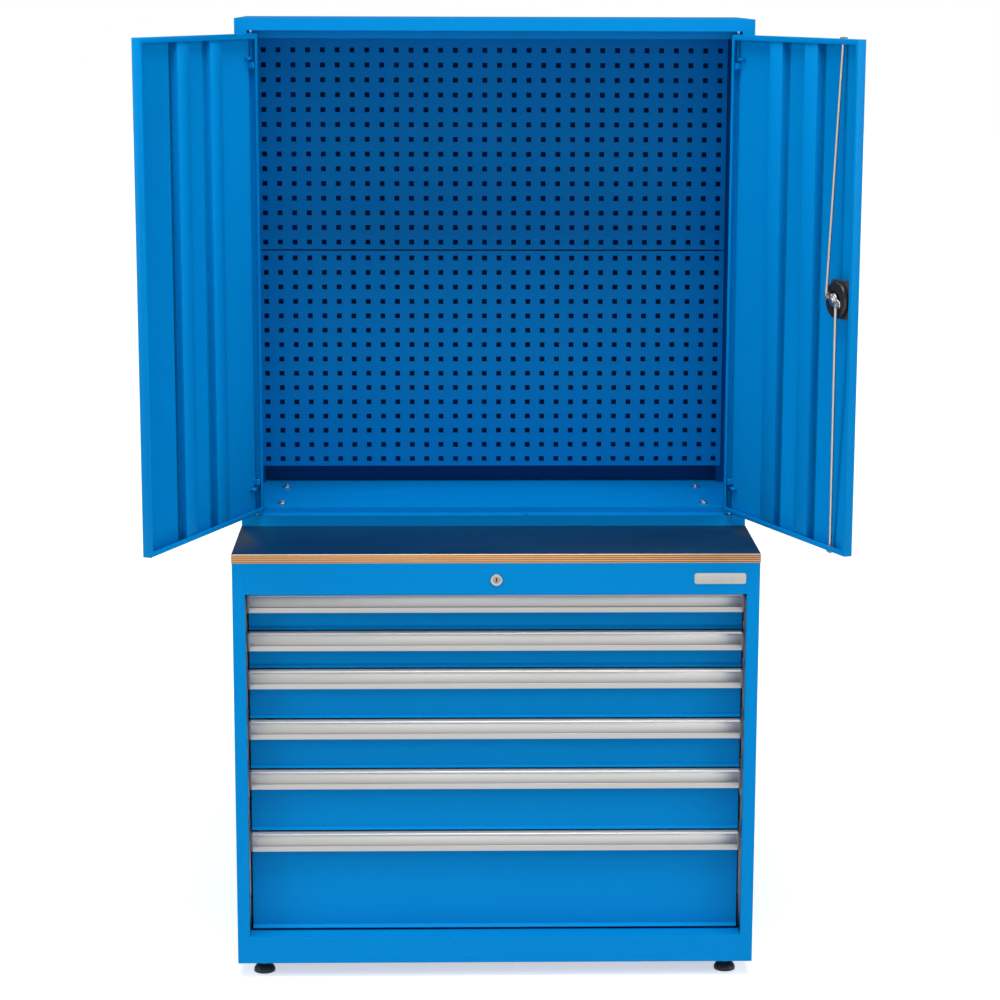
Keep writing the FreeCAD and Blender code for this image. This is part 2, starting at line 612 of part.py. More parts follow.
for number_from_top, (bottom, height) in enumerate(drawer_spaces, 1):
    low = bottom + " + drawer_gap_below"
    front_height = "(" + height + " - drawer_gap_below - drawer_gap_above)"
    top = low + " + " + front_height
    wall_low = low + " + tray_below_front"
    wall_height = front_height + " - tray_below_front - tray_below_top"
    skin = block("-front_half", "front_face", low + " + flare_height", "2 * front_half", "thin_sheet",
                 front_height + " - flare_height")
    top_fold = block("-front_half", "front_face + thin_sheet", top + " - thin_sheet", "2 * front_half",
                     "front_return - thin_sheet", "thin_sheet")
    side_folds = [
        block(x, "front_face + thin_sheet", low, "thin_sheet", "front_return - thin_sheet",
              front_height + " - thin_sheet")
        for x in ("-front_half", "front_half - thin_sheet")
    ]
    flare_outline = [
        ("front_face + thin_sheet", "flare_height"),
        ("front_face", "flare_height"),
        ("front_face - flare_depth", "thin_sheet"),
        ("front_face - flare_depth", "0"),
        ("front_face + thin_sheet", "0"),
    ]
    flare = profile("Flare", "YZ_Plane", flare_outline, "2 * front_half", True)
    place(flare, "0", "0", low)
    bottom_sheet = block("-tray_half", "tray_front", wall_low, "2 * tray_half", "tray_length", "thin_sheet")
    walls = [
        block(x, "tray_front", wall_low + " + thin_sheet", "thin_sheet", "tray_length", wall_height + " - thin_sheet")
        for x in ("-tray_half", "tray_half - thin_sheet")
    ]
    rear_wall = block("thin_sheet - tray_half", "tray_front + tray_length - thin_sheet", wall_low + " + thin_sheet",
                      "2 * tray_half - 2 * thin_sheet", "thin_sheet", wall_height + " - thin_sheet")
    inner_members = []
    for flip in (False, True):
        member = slide("InnerMember", "drawer_slide_outer", "tray_half", "drawer_slide_half_height",
                       "slide_front", slide_centre(bottom), "slide_length")
        inner_members.append(mirrored(member) if flip else member)
    hook_out = block("-catch_width / 2", "tray_front + tray_length", wall_low + " + hook_above + plug_throw",
                     "catch_width", "hook_front + thin_sheet - tray_front - tray_length", "thin_sheet")
    hook_down = block("-catch_width / 2", "hook_front", wall_low + " + hook_above", "catch_width", "thin_sheet",
                      "plug_throw")
    piece("drawer_%d" % number_from_top,
          group(skin, top_fold, *side_folds, flare, bottom_sheet, *walls, rear_wall, hook_out, hook_down,
                *inner_members))

    handle_top = "(" + top + ")"
    under_label = "(label_top + label_height)"
    handle_outline = [
        ("front_face", "0"),
        ("handle_face + handle_nose", "0"),
        ("handle_face + handle_nose / 4", "-handle_nose / 4"),
        ("handle_face", "-handle_nose"),
        ("handle_face", "-label_top"),
        ("handle_face + label_recess", "-label_top"),
        ("handle_face + label_recess", "-" + under_label),
        ("handle_face", "-" + under_label),
        ("handle_face", "-handle_height"),
        ("handle_face + handle_wall", "-handle_height"),
        ("handle_face + handle_wall", "-handle_nose"),
        ("front_face - handle_wall", "-handle_nose"),
        ("front_face - handle_wall", "-label_top - handle_nose"),
        ("front_face", "-label_top - handle_nose"),
    ]
    handle = profile("Handle", "YZ_Plane", handle_outline, "2 * (front_half - cap_overlap)", True)
    place(handle, "0", "0", handle_top)
    piece("drawer_handle_%d" % number_from_top, handle)

    cap_outline = [
        ("front_face", "0"),
        ("handle_face + handle_nose", "0"),
        ("handle_face - cap_proud + handle_nose / 4", "-handle_nose / 4"),
        ("handle_face - cap_proud", "-handle_nose"),
        ("handle_face - cap_proud", "-handle_height"),
        ("handle_face + handle_wall", "-handle_height"),
        ("front_face", "-label_top - handle_nose"),
    ]
    cap_right = profile("Cap", "YZ_Plane", cap_outline, "cap_thickness")
    place(cap_right, "front_half - cap_overlap", "0", handle_top)
    cap_left = profile("Cap", "YZ_Plane", cap_outline, "cap_thickness")
    place(cap_left, "cap_overlap - cap_thickness - front_half", "0", handle_top)
    piece("handle_caps_%d" % number_from_top, group(cap_right, cap_left))

    mid_members = []
    for flip in (False, True):
        member = slide("MidMember", "mid_outer", "mid_inner", "mid_half_height", "slide_front",
                       slide_centre(bottom), "slide_length")
        mid_members.append(mirrored(member) if flip else member)
    piece("mid_rails_%d" % number_from_top, group(*mid_members))

# Central lock: the plug's eccentric pin lifts the rear bar, whose catches hold the drawers

lock_flange = bar("0", "base_front - lock_flange", "lock_height", "lock_radius", "lock_flange", "y")
lock_barrel = bar("0", "base_front - lock_flange", "lock_height", "lock_barrel", "lock_flange + lock_length", "y")
lock_nut = bar("0", "base_front + sheet", "lock_height", "lock_radius", "lock_flange", "y")
lock_bore = bar("0", "base_front - hole_overrun", "lock_height", "plug_radius + pin_clearance",
                "lock_length + 2 * hole_overrun", "y")
piece("drawer_lock_body", holed(joined(lock_flange, lock_barrel, lock_nut), lock_bore))

plug = bar("0", "base_front - lock_flange", "lock_height", "plug_radius",
           "lock_flange + lock_length + seat_gap", "y")
plug_disc = bar("0", "base_front + lock_length + seat_gap", "lock_height", "plug_throw + 2 * plug_pin", "plug_pin", "y")
plug_pin = bar("plug_throw", "base_front + lock_length + seat_gap", "lock_height", "plug_pin",
               "plug_pin + plug_tail", "y")
plug_slot = block("-key_slot_width / 2", "base_front - lock_flange", "lock_height - key_slot_height / 2",
                  "key_slot_width", "key_slot_depth", "key_slot_height")
piece("drawer_lock_plug", holed(joined(plug, plug_disc, plug_pin), plug_slot))

bar_start = "(base_front + lock_length + 2 * seat_gap + plug_pin)"
yoke = block("-2 * plug_throw", bar_start, "lock_height - plug_throw", "4 * plug_throw", "bar_thickness",
             "2 * plug_throw")
yoke_slot = block("-1.5 * plug_throw", bar_start + " - hole_overrun", "lock_height - 2 * plug_pin", "3 * plug_throw",
                  "bar_thickness + 2 * hole_overrun", "4 * plug_pin")
arm = block("-bar_thickness / 2", bar_start + " + bar_thickness", "lock_height + plug_throw - bar_thickness",
            "bar_thickness", "bar_back - " + bar_start + " - bar_thickness", "bar_thickness + plug_pin")
leg = block("-bar_thickness / 2", "bar_front", "plinth_top", "bar_thickness", "bar_width",
            "lock_height + plug_throw - bar_thickness - plinth_top")
catches = []
for bottom, height in drawer_spaces:
    catch_low = bottom + " + drawer_gap_below + tray_below_front"
    shelf = block("-catch_width / 4", "catch_front", catch_low, "catch_width / 2", "catch_reach", "thin_sheet")
    lip = block("-catch_width / 4", "catch_front", catch_low + " + thin_sheet", "catch_width / 2", "thin_sheet",
                "plug_throw")
    catches.extend((shelf, lip))
piece("drawer_lock_bar", group(holed(yoke, yoke_slot), arm, leg, *catches))

# Bare plate at the right of the top rail

plate = block("opening_half - plate_edge - plate_width", "base_front - plate_thickness",
              "plate_centre - plate_height / 2", "plate_width", "plate_thickness", "plate_height")
piece("name_plate", rounded(plate, (0, 1, 0), "plate_corner"))

# Upper cabinet: sides, roof, floor and back


def hutch_side():
    wall = block("inner_half", "hutch_front", "worktop_top", "sheet", "hutch_depth", "hutch_height")
    stile = block("hutch_opening_half", "hutch_front", "worktop_top", "hutch_stile", "sheet", "hutch_height")
    fold = block("hutch_opening_half", "hutch_front", "ledge_top", "sheet", "hutch_stile_return",
                 "hutch_rail_bottom - ledge_top")
    rear = block("half_width - back_flange", "base_back - sheet", "worktop_top", "back_flange", "sheet",
                 "hutch_height")
    return joined(wall, stile, fold, rear)


piece("hutch_right_side", hutch_side())
piece("hutch_left_side", mirrored(hutch_side()))


def pin_hole(z):
    """Holes for the hinge pins of both doors, through a sheet near the height z."""
    holes = []
    for x in ("pivot_x", "-pivot_x"):
        holes.append(bar(x, "pivot_y", z + " - hole_overrun", "pin_radius + pin_clearance", "2 * hole_overrun"))
    return holes


def strike_hole(z):
    """Hole that a locking rod of the closed right door enters."""
    return bar("pivot_x - rod_hole_from_pin", "pivot_y + rod_end_line", z + " - hole_overrun",
               "rod_radius + strike_slack", "2 * hole_overrun")


roof_sheet = block("-inner_half", "hutch_front", "hutch_top - sheet", "2 * inner_half",
                   "hutch_depth - sheet", "sheet")
roof_rail = block("-hutch_opening_half", "hutch_front", "hutch_rail_bottom", "2 * hutch_opening_half", "sheet",
                  "hutch_rail")
roof_return = block("-inner_half", "hutch_front + sheet", "hutch_rail_bottom", "2 * inner_half",
                    "ledge_depth - sheet", "sheet")
roof_stop = block("-hutch_opening_half", "hutch_front + ledge_depth - sheet", "hutch_rail_bottom - stop_height",
                  "2 * hutch_opening_half", "sheet", "stop_height + sheet")
roof_stile_cut = [
    block("hutch_opening_half", "hutch_front - hole_overrun", "hutch_rail_bottom - hole_overrun", "hutch_stile",
          "hole_overrun + sheet", "hutch_rail + 2 * hole_overrun"),
    block("-half_width", "hutch_front - hole_overrun", "hutch_rail_bottom - hole_overrun", "hutch_stile",
          "hole_overrun + sheet", "hutch_rail + 2 * hole_overrun"),
]
piece("hutch_roof", holed(joined(roof_sheet, roof_rail, roof_return, roof_stop), *roof_stile_cut,
                          *pin_hole("hutch_rail_bottom"), strike_hole("hutch_rail_bottom")))

sill = block("-hutch_opening_half", "hutch_front", "worktop_top", "2 * hutch_opening_half", "sheet", "sill_height")
ledge = block("-inner_half", "hutch_front + sheet", "ledge_top - sheet", "2 * inner_half", "ledge_depth - sheet",
              "sheet")
step = block("-hutch_opening_half", "hutch_front + ledge_depth - sheet", "ledge_top - sheet",
             "2 * hutch_opening_half", "sheet", "step_height + sheet")
hutch_base = block("-inner_half", "hutch_front + ledge_depth - sheet", "hutch_floor_top - sheet",
                   "2 * inner_half", "hutch_back_sheet - hutch_front - ledge_depth + sheet", "sheet")
base_support = block("-hutch_opening_half", "hutch_back_sheet - back_flange", "worktop_top",
                     "2 * hutch_opening_half", "sheet", "hutch_floor_top - worktop_top")


def floor_bolt_hole(x, y):
    return bar(x, y, "hutch_floor_top - hole_overrun", "bolt_radius + seat_gap", "2 * hole_overrun")


ledge_front = block("-hutch_opening_half", "hutch_front", "ledge_top - sheet", "2 * hutch_opening_half",
                    "ledge_depth", "sheet")
piece("hutch_floor", holed(joined(sill, ledge, ledge_front, step, hutch_base, base_support),
                           *at_bolts(floor_bolt_hole), *pin_hole("ledge_top"), strike_hole("ledge_top")))

piece("hutch_back", block("-inner_half", "hutch_back_sheet", "worktop_top", "2 * inner_half", "thin_sheet",
                          "hutch_height - sheet"))


def floor_bolt(x, y):
    shank = bar(x, y, "carcass_top", "bolt_radius", "hutch_floor_top - carcass_top + washer_thickness")
    washer = bar(x, y, "hutch_floor_top", "washer_radius", "washer_thickness")
    head = doc.addObject("Part::Prism", "Head")
    head.setExpression("Circumradius", linked("bolt_head_radius"))
    head.setExpression("Height", linked("bolt_head_height"))
    place(head, x, y, "hutch_floor_top + washer_thickness")
    return joined(shank, washer, head)


piece("hutch_bolts", group(*at_bolts(floor_bolt)))

# Perforated panels: one holed face each, thickened, with folded edges

support_outline = [
    ("inner_half", "peg_face + thin_sheet"),
    ("inner_half", "peg_face + thin_sheet + support_width / 2"),
    ("inner_half - sheet", "peg_face + thin_sheet + support_width / 2"),
    ("inner_half - sheet", "peg_face + thin_sheet + sheet"),
    ("inner_half - support_width", "peg_face + thin_sheet + sheet"),
    ("inner_half - support_width", "peg_face + thin_sheet"),
]


def support():
    upright = profile("Support", "XY_Plane", support_outline, "peg_top - hutch_floor_top")
    return place(upright, "0", "0", "hutch_floor_top")


piece("peg_supports", group(support(), mirrored(support())))


def perforated(bottom):
    """A flat sheet with its square holes and folded edges, at its place."""
    low = number(bottom)
    face = number("peg_face")
    wide = number("peg_panel_width")
    tall = number("peg_panel_height")
    pitch = number("peg_pitch")
    side = number("peg_hole")
    thickness = number("thin_sheet")
    fold = number("peg_return")
    short = number("peg_side_cut")
    columns = int(round(number("peg_columns")))
    rows = int(round(number("peg_rows")))

    def rectangle(x, z, length, height, inner):
        corners = [(x, z), (x, z + height), (x + length, z + height), (x + length, z), (x, z)]
        if inner:
            corners.reverse()
        return Part.makePolygon([FreeCAD.Vector(across, 0, up) for across, up in corners])

    outline = rectangle(-wide / 2, 0, wide, tall, False)
    holes = []
    for column in range(columns):
        for row in range(rows):
            x = -wide / 2 + (column + 0.5) * pitch - side / 2
            z = (row + 0.5) * pitch - side / 2
            holes.append(rectangle(x, z, side, side, True))
    sheet_face = Part.Face([outline] + holes)
    plate_solid = sheet_face.extrude(FreeCAD.Vector(0, thickness, 0))
    folds = []
    for z in (0, tall - thickness):
        corner = FreeCAD.Vector(short - wide / 2, thickness, z)
        folds.append(Part.makeBox(wide - 2 * short, fold - thickness, thickness, corner))
    panel = doc.addObject("Part::Feature", "Perforated")
    panel.Shape = plate_solid.fuse(folds).Solids[0]
    panel.Placement = FreeCAD.Placement(FreeCAD.Vector(0, face, low), FreeCAD.Rotation())
    return panel


piece("peg_panels", group(perforated("peg_low"), perforated("peg_low + peg_panel_height + peg_seam")))

# Doors, drawn shut in their own frame: the hinge pin at the origin, the door along +X


def hung_left(shape):
    turn(shape, (0, 0, 1), "-door_open")
    return place(shape, "-pivot_x", "pivot_y", "0")


def hung_right(shape):
    """Turns a mirrored piece of the door about the right pin."""
    turn(shape, (0, 0, 1), "door_open")
    return place(shape, "pivot_x", "pivot_y", "0")


def door_pan(skin_holes, rod_ways):
    """A folded pan: skin, four walls and four lips. The rods' ways pass through its lower and upper wall."""
    skin = block("-door_beyond_pin", "-pivot_depth", "door_bottom", "door_width", "thin_sheet", "door_height")
    if skin_holes:
        skin = holed(skin, *skin_holes)
    wall_depth = "door_pan - 2 * thin_sheet"
    lip_face = "door_inside - thin_sheet"
    wall_start = "thin_sheet - door_beyond_pin"
    wall_end = "(door_free_edge - thin_sheet)"
    shapes = [skin]
    for x in ("-door_beyond_pin", wall_end):
        shapes.append(block(x, "door_skin", "door_bottom", "thin_sheet", wall_depth, "door_height"))
    for z, edge in (("door_bottom", "door_bottom"), ("door_top - thin_sheet", "door_top")):
        pin_way = bar("0", "0", edge + " - hole_overrun", "pin_radius + pin_clearance", "2 * hole_overrun")
        if rod_ways:
            near = block(wall_start, "door_skin", z, "guide_left - (" + wall_start + ")", wall_depth,
                         "thin_sheet")
            shapes.append(holed(near, pin_way))
            shapes.append(block("guide_left", "door_skin", z, "guide_width", "way_back - guide_wall - door_skin",
                                "thin_sheet"))
            shapes.append(block("guide_left + guide_width", "door_skin", z,
                                wall_end + " - guide_left - guide_width", wall_depth, "thin_sheet"))
        else:
            whole = block(wall_start, "door_skin", z, "door_width - 2 * thin_sheet", wall_depth, "thin_sheet")
            shapes.append(holed(whole, pin_way))
    for z in ("door_bottom", "door_top - door_lip"):
        shapes.append(block("-door_beyond_pin", lip_face, z, "door_width", "thin_sheet", "door_lip"))
    for x in ("-door_beyond_pin", "door_free_edge - door_lip"):
        shapes.append(block(x, lip_face, "door_bottom + door_lip", "door_lip", "thin_sheet",
                            "door_height - 2 * door_lip"))
    return group(*shapes)


def rib(centre):
    half = "(rib_top / 2)"
    outline = [
        ("-" + half + " - rib_flange", "0"),
        ("-" + half + " - rib_flange", "thin_sheet"),
        ("-" + half, "thin_sheet"),
        ("-" + half, "rib_height"),
        (half, "rib_height"),
        (half, "thin_sheet"),
        (half + " + rib_flange", "thin_sheet"),
        (half + " + rib_flange", "0"),
        (half + " - thin_sheet", "0"),
        (half + " - thin_sheet", "rib_height - thin_sheet"),
        ("thin_sheet - " + half, "rib_height - thin_sheet"),
        ("thin_sheet - " + half, "0"),
    ]
    hat = profile("Rib", "XY_Plane", outline, "door_height - 2 * thin_sheet")
    return place(hat, centre, "door_skin", "door_bottom + thin_sheet")


def hinge_bolt(edge, inward):
    """Pin from beyond the door's edge into the door, with its bracket and bent end."""
    if inward > 0:
        start = edge + " - pin_above"
        knob = edge + " + knob_place"
        bracket = edge + " + pin_length - bracket_height"
    else:
        start = edge + " - pin_length"
        knob = edge + " - knob_place"
        bracket = edge + " - pin_length"
    pin = bar("0", "0", start, "pin_radius", "pin_length + pin_above")
    bent = bar("0", "0", knob, "pin_radius", "knob_reach", "x")
    grip_end = bar("knob_reach", "-pin_radius", knob, "pin_radius", "knob_rise + pin_radius", "y")
    hold = block("-door_beyond_pin + thin_sheet", "door_skin", bracket, "bracket_width", "bracket_width - thin_sheet",
                 "bracket_height")
    return joined(pin, bent, grip_end, hold)


piece("left_door_panel", hung_left(door_pan([], False)))
piece("left_door_ribs", hung_left(group(rib("rib_one"), rib("rib_two"))))
piece("left_hinge_bolts", hung_left(group(hinge_bolt("door_bottom", 1), hinge_bolt("door_top", -1))))

spindle_hole = bar("lock_from_pin", "-pivot_depth - hole_overrun", "lock_above_ground",
                   "spindle_radius + pin_clearance", "2 * hole_overrun", "y")
piece("right_door_panel", hung_right(mirrored(door_pan([spindle_hole], True))))
piece("right_door_ribs", hung_right(mirrored(group(rib("rib_one"), rib("rib_two")))))
piece("right_hinge_bolts", hung_right(mirrored(group(hinge_bolt("door_bottom", 1), hinge_bolt("door_top", -1)))))

# Rod lock of the right door

housing_plate = block("lock_from_pin - housing_width / 2", "door_skin", "lock_above_ground - housing_height / 2",
                      "housing_width", "housing_base", "housing_height")
housing_plate = rounded(housing_plate, (0, 1, 0), "housing_corner")
drum = bar("lock_from_pin", "drum_front", "lock_above_ground", "drum_radius", "drum_height", "y")
housing_bore = bar("lock_from_pin", "door_skin - hole_overrun", "lock_above_ground",
                   "spindle_radius + pin_clearance", "housing_base + drum_height + 2 * hole_overrun", "y")
piece("door_lock_housing", hung_right(mirrored(holed(joined(housing_plate, drum), housing_bore))))

spindle = bar("lock_from_pin", "-pivot_depth - seat_gap", "lock_above_ground", "spindle_radius",
              "cam_back + pivot_depth + seat_gap", "y")
rose = bar("lock_from_pin", "-pivot_depth - seat_gap - rose_thickness", "lock_above_ground", "rose_radius",
           "rose_thickness", "y")
grip_face = "(-pivot_depth - seat_gap - rose_thickness - hub_neck - grip_thickness)"
grip = block("-grip_length", "0", "-grip_width / 2", "grip_length", "grip_thickness", "grip_width")
grip_end = bar("-grip_length", "0", "0", "grip_width / 2", "grip_thickness", "y")
lever = joined(grip, grip_end, bar("0", "0", "0", "hub_radius", "grip_thickness + hub_neck", "y"))
turn(lever, (0, 1, 0), "180 - cam_angle")
place(lever, "lock_from_pin", grip_face, "lock_above_ground")
key_bore = bar("lock_from_pin", grip_face + " - hole_overrun", "lock_above_ground", "key_radius + pin_clearance",
               "key_depth + hole_overrun", "y")
piece("door_handle", hung_right(mirrored(holed(joined(spindle, rose, lever), key_bore))))

key_plug = bar("lock_from_pin", grip_face, "lock_above_ground", "key_radius", "key_depth", "y")
key_slot = block("lock_from_pin - key_slot_width / 2", grip_face, "lock_above_ground - key_slot_height / 2",
                 "key_slot_width", "key_slot_depth", "key_slot_height")
piece("door_key_plug", hung_right(mirrored(holed(key_plug, key_slot))))

cam_hub = bar("0", "cam_back", "0", "cam_hub_radius", "cam_hub_height", "y")
cam_arms = block("-cam_arm", "cam_back", "-cam_width / 2", "2 * cam_arm", "cam_thickness", "cam_width")
cam_ends = []
for side in ("-cam_arm", "cam_arm"):
    cam_ends.append(bar(side, "cam_back", "0", "cam_width / 2", "cam_thickness", "y"))
    cam_ends.append(bar(side, "cam_back", "0", "cam_pin", "cam_thickness + rod_radius * 2", "y"))
cam = joined(cam_hub, cam_arms, *cam_ends)
turn(cam, (0, 1, 0), "180 - cam_angle")
place(cam, "lock_from_pin", "0", "lock_above_ground")
piece("lock_cam", hung_right(mirrored(group(cam))))


def rod(eye_x, eye_z, tip_z):
    """A straight rod from its eye on the cam pin to its way through the door's edge, behind the lip."""
    aside = "(rod_hole_from_pin - (" + eye_x + "))"
    rise = "(" + tip_z + " - (" + eye_z + "))"
    flat_length = "sqrt(" + aside + " ^ 2 + " + rise + " ^ 2)"
    drop = "(rod_line - rod_end_line)"
    shank = bar("0", "rod_line", "0", "rod_radius", "sqrt(" + flat_length + " ^ 2 + " + drop + " ^ 2)")
    turn(shank, (1, 0, 0), "atan2(" + drop + ", " + flat_length + ")")
    eye = bar("0", "rod_line - eye_half", "0", "eye_radius", "2 * eye_half", "y")
    hole = bar("0", "rod_line - hole_overrun", "0", "cam_pin + pin_clearance", "2 * hole_overrun", "y")
    whole = holed(joined(shank, eye), hole)
    turn(whole, (0, 1, 0), "atan2(" + aside + ", " + rise + ")")
    return place(whole, eye_x, "0", eye_z)


upper_eye = ("lock_from_pin - cam_pin_x", "lock_above_ground + cam_pin_z")
lower_eye = ("lock_from_pin + cam_pin_x", "lock_above_ground - cam_pin_z")
piece("upper_rod", hung_right(mirrored(group(rod(*upper_eye, "rod_top")))))
piece("lower_rod", hung_right(mirrored(group(rod(*lower_eye, "rod_bottom")))))


def guide(low):
    """A moulded bushing through the door's edge: four walls round the rod's way."""
    height = "(guide_height + guide_cap)"
    cheek = "guide_width / 2 - rod_radius - guide_swing"
    back = block("guide_left", "way_back - guide_wall", low, "guide_width", "guide_wall", height)
    cheeks = [
        block(x, "way_back", low, cheek, "way_front - way_back", height)
        for x in ("guide_left", "rod_hole_from_pin + rod_radius + guide_swing")
    ]
    front = block("guide_left", "way_front", low, "guide_width", "door_inside - thin_sheet - way_front", height)
    return [back, *cheeks, front]


low_guide = guide("door_bottom - guide_cap")
high_guide = guide("door_top - guide_height")
piece("rod_guides", hung_right(mirrored(group(*low_guide, *high_guide))))

doc.recompute()

faults = []
for item in doc.Objects:
    if "Invalid" in item.State or "Error" in item.State:
        faults.append(item.Label)
for shape in PIECES:
    if shape.Shape.isNull() or not shape.Shape.isValid() or shape.Shape.Volume <= 0:
        faults.append(shape.Label + " shape")
if faults:
    raise RuntimeError("these did not build: " + ", ".join(faults))

os.makedirs("parts", exist_ok=True)
for shape in PIECES:
    shape.Shape.exportStep(os.path.join("parts", shape.Label + ".step"))
print("pieces", len(PIECES))
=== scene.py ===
import json
import math
import bpy
from mathutils import Matrix, Vector

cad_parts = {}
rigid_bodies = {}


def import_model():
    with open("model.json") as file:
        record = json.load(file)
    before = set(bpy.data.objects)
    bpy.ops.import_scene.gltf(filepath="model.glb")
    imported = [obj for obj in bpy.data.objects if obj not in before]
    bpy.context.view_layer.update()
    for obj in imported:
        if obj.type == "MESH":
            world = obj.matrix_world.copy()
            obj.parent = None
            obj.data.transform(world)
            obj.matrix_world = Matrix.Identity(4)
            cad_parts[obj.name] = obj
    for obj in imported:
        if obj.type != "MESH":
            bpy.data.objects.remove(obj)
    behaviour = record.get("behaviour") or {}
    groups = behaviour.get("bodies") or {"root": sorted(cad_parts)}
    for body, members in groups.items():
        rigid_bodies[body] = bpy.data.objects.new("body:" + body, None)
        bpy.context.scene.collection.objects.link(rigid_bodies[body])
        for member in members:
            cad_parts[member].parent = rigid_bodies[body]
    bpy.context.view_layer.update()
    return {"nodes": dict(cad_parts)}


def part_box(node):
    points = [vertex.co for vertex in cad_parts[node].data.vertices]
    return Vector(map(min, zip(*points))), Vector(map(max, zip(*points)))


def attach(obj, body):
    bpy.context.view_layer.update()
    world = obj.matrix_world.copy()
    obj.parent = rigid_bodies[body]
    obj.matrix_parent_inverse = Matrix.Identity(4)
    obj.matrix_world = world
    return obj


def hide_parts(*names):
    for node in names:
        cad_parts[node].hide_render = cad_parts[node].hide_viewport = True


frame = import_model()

# Base carcass: sides, back, rails and floor of folded sheet steel, 1.5 mm, spot-welded.
# Powder coated in one light blue: a smooth, slightly glossy skin with a faint orange peel.


def linear(hex_text):
    """An sRGB hex colour as the linear colour that a shader takes."""
    channels = [int(hex_text[digit:digit + 2], 16) / 255 for digit in (1, 3, 5)]
    return [c / 12.92 if c <= 0.04045 else ((c + 0.055) / 1.055) ** 2.4 for c in channels] + [1.0]


def add_node(tree, kind, settings, links):
    """Adds a node, sets its sockets or properties, and joins other nodes' outputs to its sockets."""
    node = tree.nodes.new(kind)
    for name, value in settings.items():
        if isinstance(name, int) or name in node.inputs:
            node.inputs[name].default_value = value
        else:
            setattr(node, name, value)
    for name, (source, output) in links.items():
        tree.links.new(source.outputs[output], node.inputs[name])
    return node


def new_material(name):
    """A new material and its empty tree of nodes."""
    material = bpy.data.materials.new(name)
    material.use_nodes = True
    material.node_tree.nodes.clear()
    return material, material.node_tree


def powder_coat(name, first, second, roughness):
    """Baked polyester powder on steel. First and second are the shades of its slight unevenness."""
    material, tree = new_material(name)
    place = add_node(tree, "ShaderNodeTexCoord", {}, {})
    # cloudy shade, about 400 mm wide
    cloud = add_node(tree, "ShaderNodeTexNoise", {"Scale": 2.5, "Detail": 2.0}, {"Vector": (place, "Object")})
    shade = add_node(tree, "ShaderNodeMix", {"data_type": "RGBA", 6: linear(first), 7: linear(second)},
                     {0: (cloud, "Fac")})
    # orange peel, real cells of 1 to 2 mm drawn 4 mm wide so that they show
    peel = add_node(tree, "ShaderNodeTexNoise", {"Scale": 250.0, "Detail": 1.0}, {"Vector": (place, "Object")})
    gloss = add_node(tree, "ShaderNodeMapRange", {"To Min": roughness - 0.04, "To Max": roughness + 0.05},
                     {"Value": (peel, "Fac")})
    # folds of 1.5 mm sheet have a small outer radius
    fold = add_node(tree, "ShaderNodeBevel", {"samples": 4, "Radius": 0.0009}, {})
    skin = add_node(tree, "ShaderNodeBump", {"Strength": 0.12, "Distance": 0.0003},
                    {"Height": (peel, "Fac"), "Normal": (fold, "Normal")})
    paint = add_node(tree, "ShaderNodeBsdfPrincipled", {"IOR": 1.5, "Specular IOR Level": 0.04},
                     {"Base Color": (shade, 2), "Roughness": (gloss, "Result"), "Normal": (skin, "Normal")})
    add_node(tree, "ShaderNodeOutputMaterial", {}, {"Surface": (paint, "BSDF")})
    return material


def dress(node, material):
    """Gives a CAD node its finish."""
    mesh = frame["nodes"][node].data
    mesh.materials.clear()
    mesh.materials.append(material)


light_blue_coat = powder_coat("powder_coat_light_blue", "#0086CC", "#0080C6", 0.4)
for node in ("carcass_left_side", "carcass_right_side", "carcass_back", "carcass_top_rail", "carcass_plinth",
             "carcass_floor"):
    dress(node, light_blue_coat)

# Runner posts, lock bar and slide members: rolled strip, zinc plated and passivated; the slides near black, as
# painted shade in the gaps beside the drawers.
# Slightly cloudy metal with fine rolling lines, about 1 mm apart.


def plated_steel(name, colour, second, low, high, lines):
    """Zinc on steel: cloudy gloss between two roughness values, rolling lines by their scale in X, Y and Z."""
    material, tree = new_material(name)
    place = add_node(tree, "ShaderNodeTexCoord", {}, {})
    stretch = add_node(tree, "ShaderNodeMapping", {"Scale": lines}, {"Vector": (place, "Object")})
    rolled = add_node(tree, "ShaderNodeTexNoise", {"Scale": 1.0, "Detail": 3.0},
                      {"Vector": (stretch, "Vector")})
    cloud = add_node(tree, "ShaderNodeTexNoise", {"Scale": 60.0, "Detail": 3.0}, {"Vector": (place, "Object")})
    gloss = add_node(tree, "ShaderNodeMapRange", {"To Min": low, "To Max": high}, {"Value": (cloud, "Fac")})
    tone = add_node(tree, "ShaderNodeMix", {"data_type": "RGBA", 6: linear(colour), 7: linear(second)},
                    {0: (cloud, "Fac")})
    edge = add_node(tree, "ShaderNodeBevel", {"samples": 4, "Radius": 0.0004}, {})
    relief = add_node(tree, "ShaderNodeBump", {"Strength": 0.08, "Distance": 0.0002},
                      {"Height": (rolled, "Fac"), "Normal": (edge, "Normal")})
    metal = add_node(tree, "ShaderNodeBsdfPrincipled", {"Metallic": 1.0},
                     {"Base Color": (tone, 2), "Roughness": (gloss, "Result"), "Normal": (relief, "Normal")})
    add_node(tree, "ShaderNodeOutputMaterial", {}, {"Surface": (metal, "BSDF")})
    return material


zinc_strip = plated_steel("zinc_plated_rolled_strip", "#BDBDB8", "#D9D8D2", 0.28, 0.42, (20, 4, 900))
for node in ("runner_posts", "drawer_lock_bar"):
    dress(node, zinc_strip)
# the slides are coloured near black: painted shade for the dark gaps beside the drawer fronts
slide_strip_painted_shade = plated_steel("black_rolled_strip_as_painted_shade", "#2B2C2E", "#3C3D3F", 0.36, 0.5, (20, 4, 900))
for node in ["cabinet_rails"] + ["mid_rails_%d" % number for number in range(1, 7)]:
    dress(node, slide_strip_painted_shade)

# Levelling feet: moulded black pads, domed, on zinc-plated studs with an M10 thread.
# The pads are matt nylon with a small straight rim where they touch the floor.


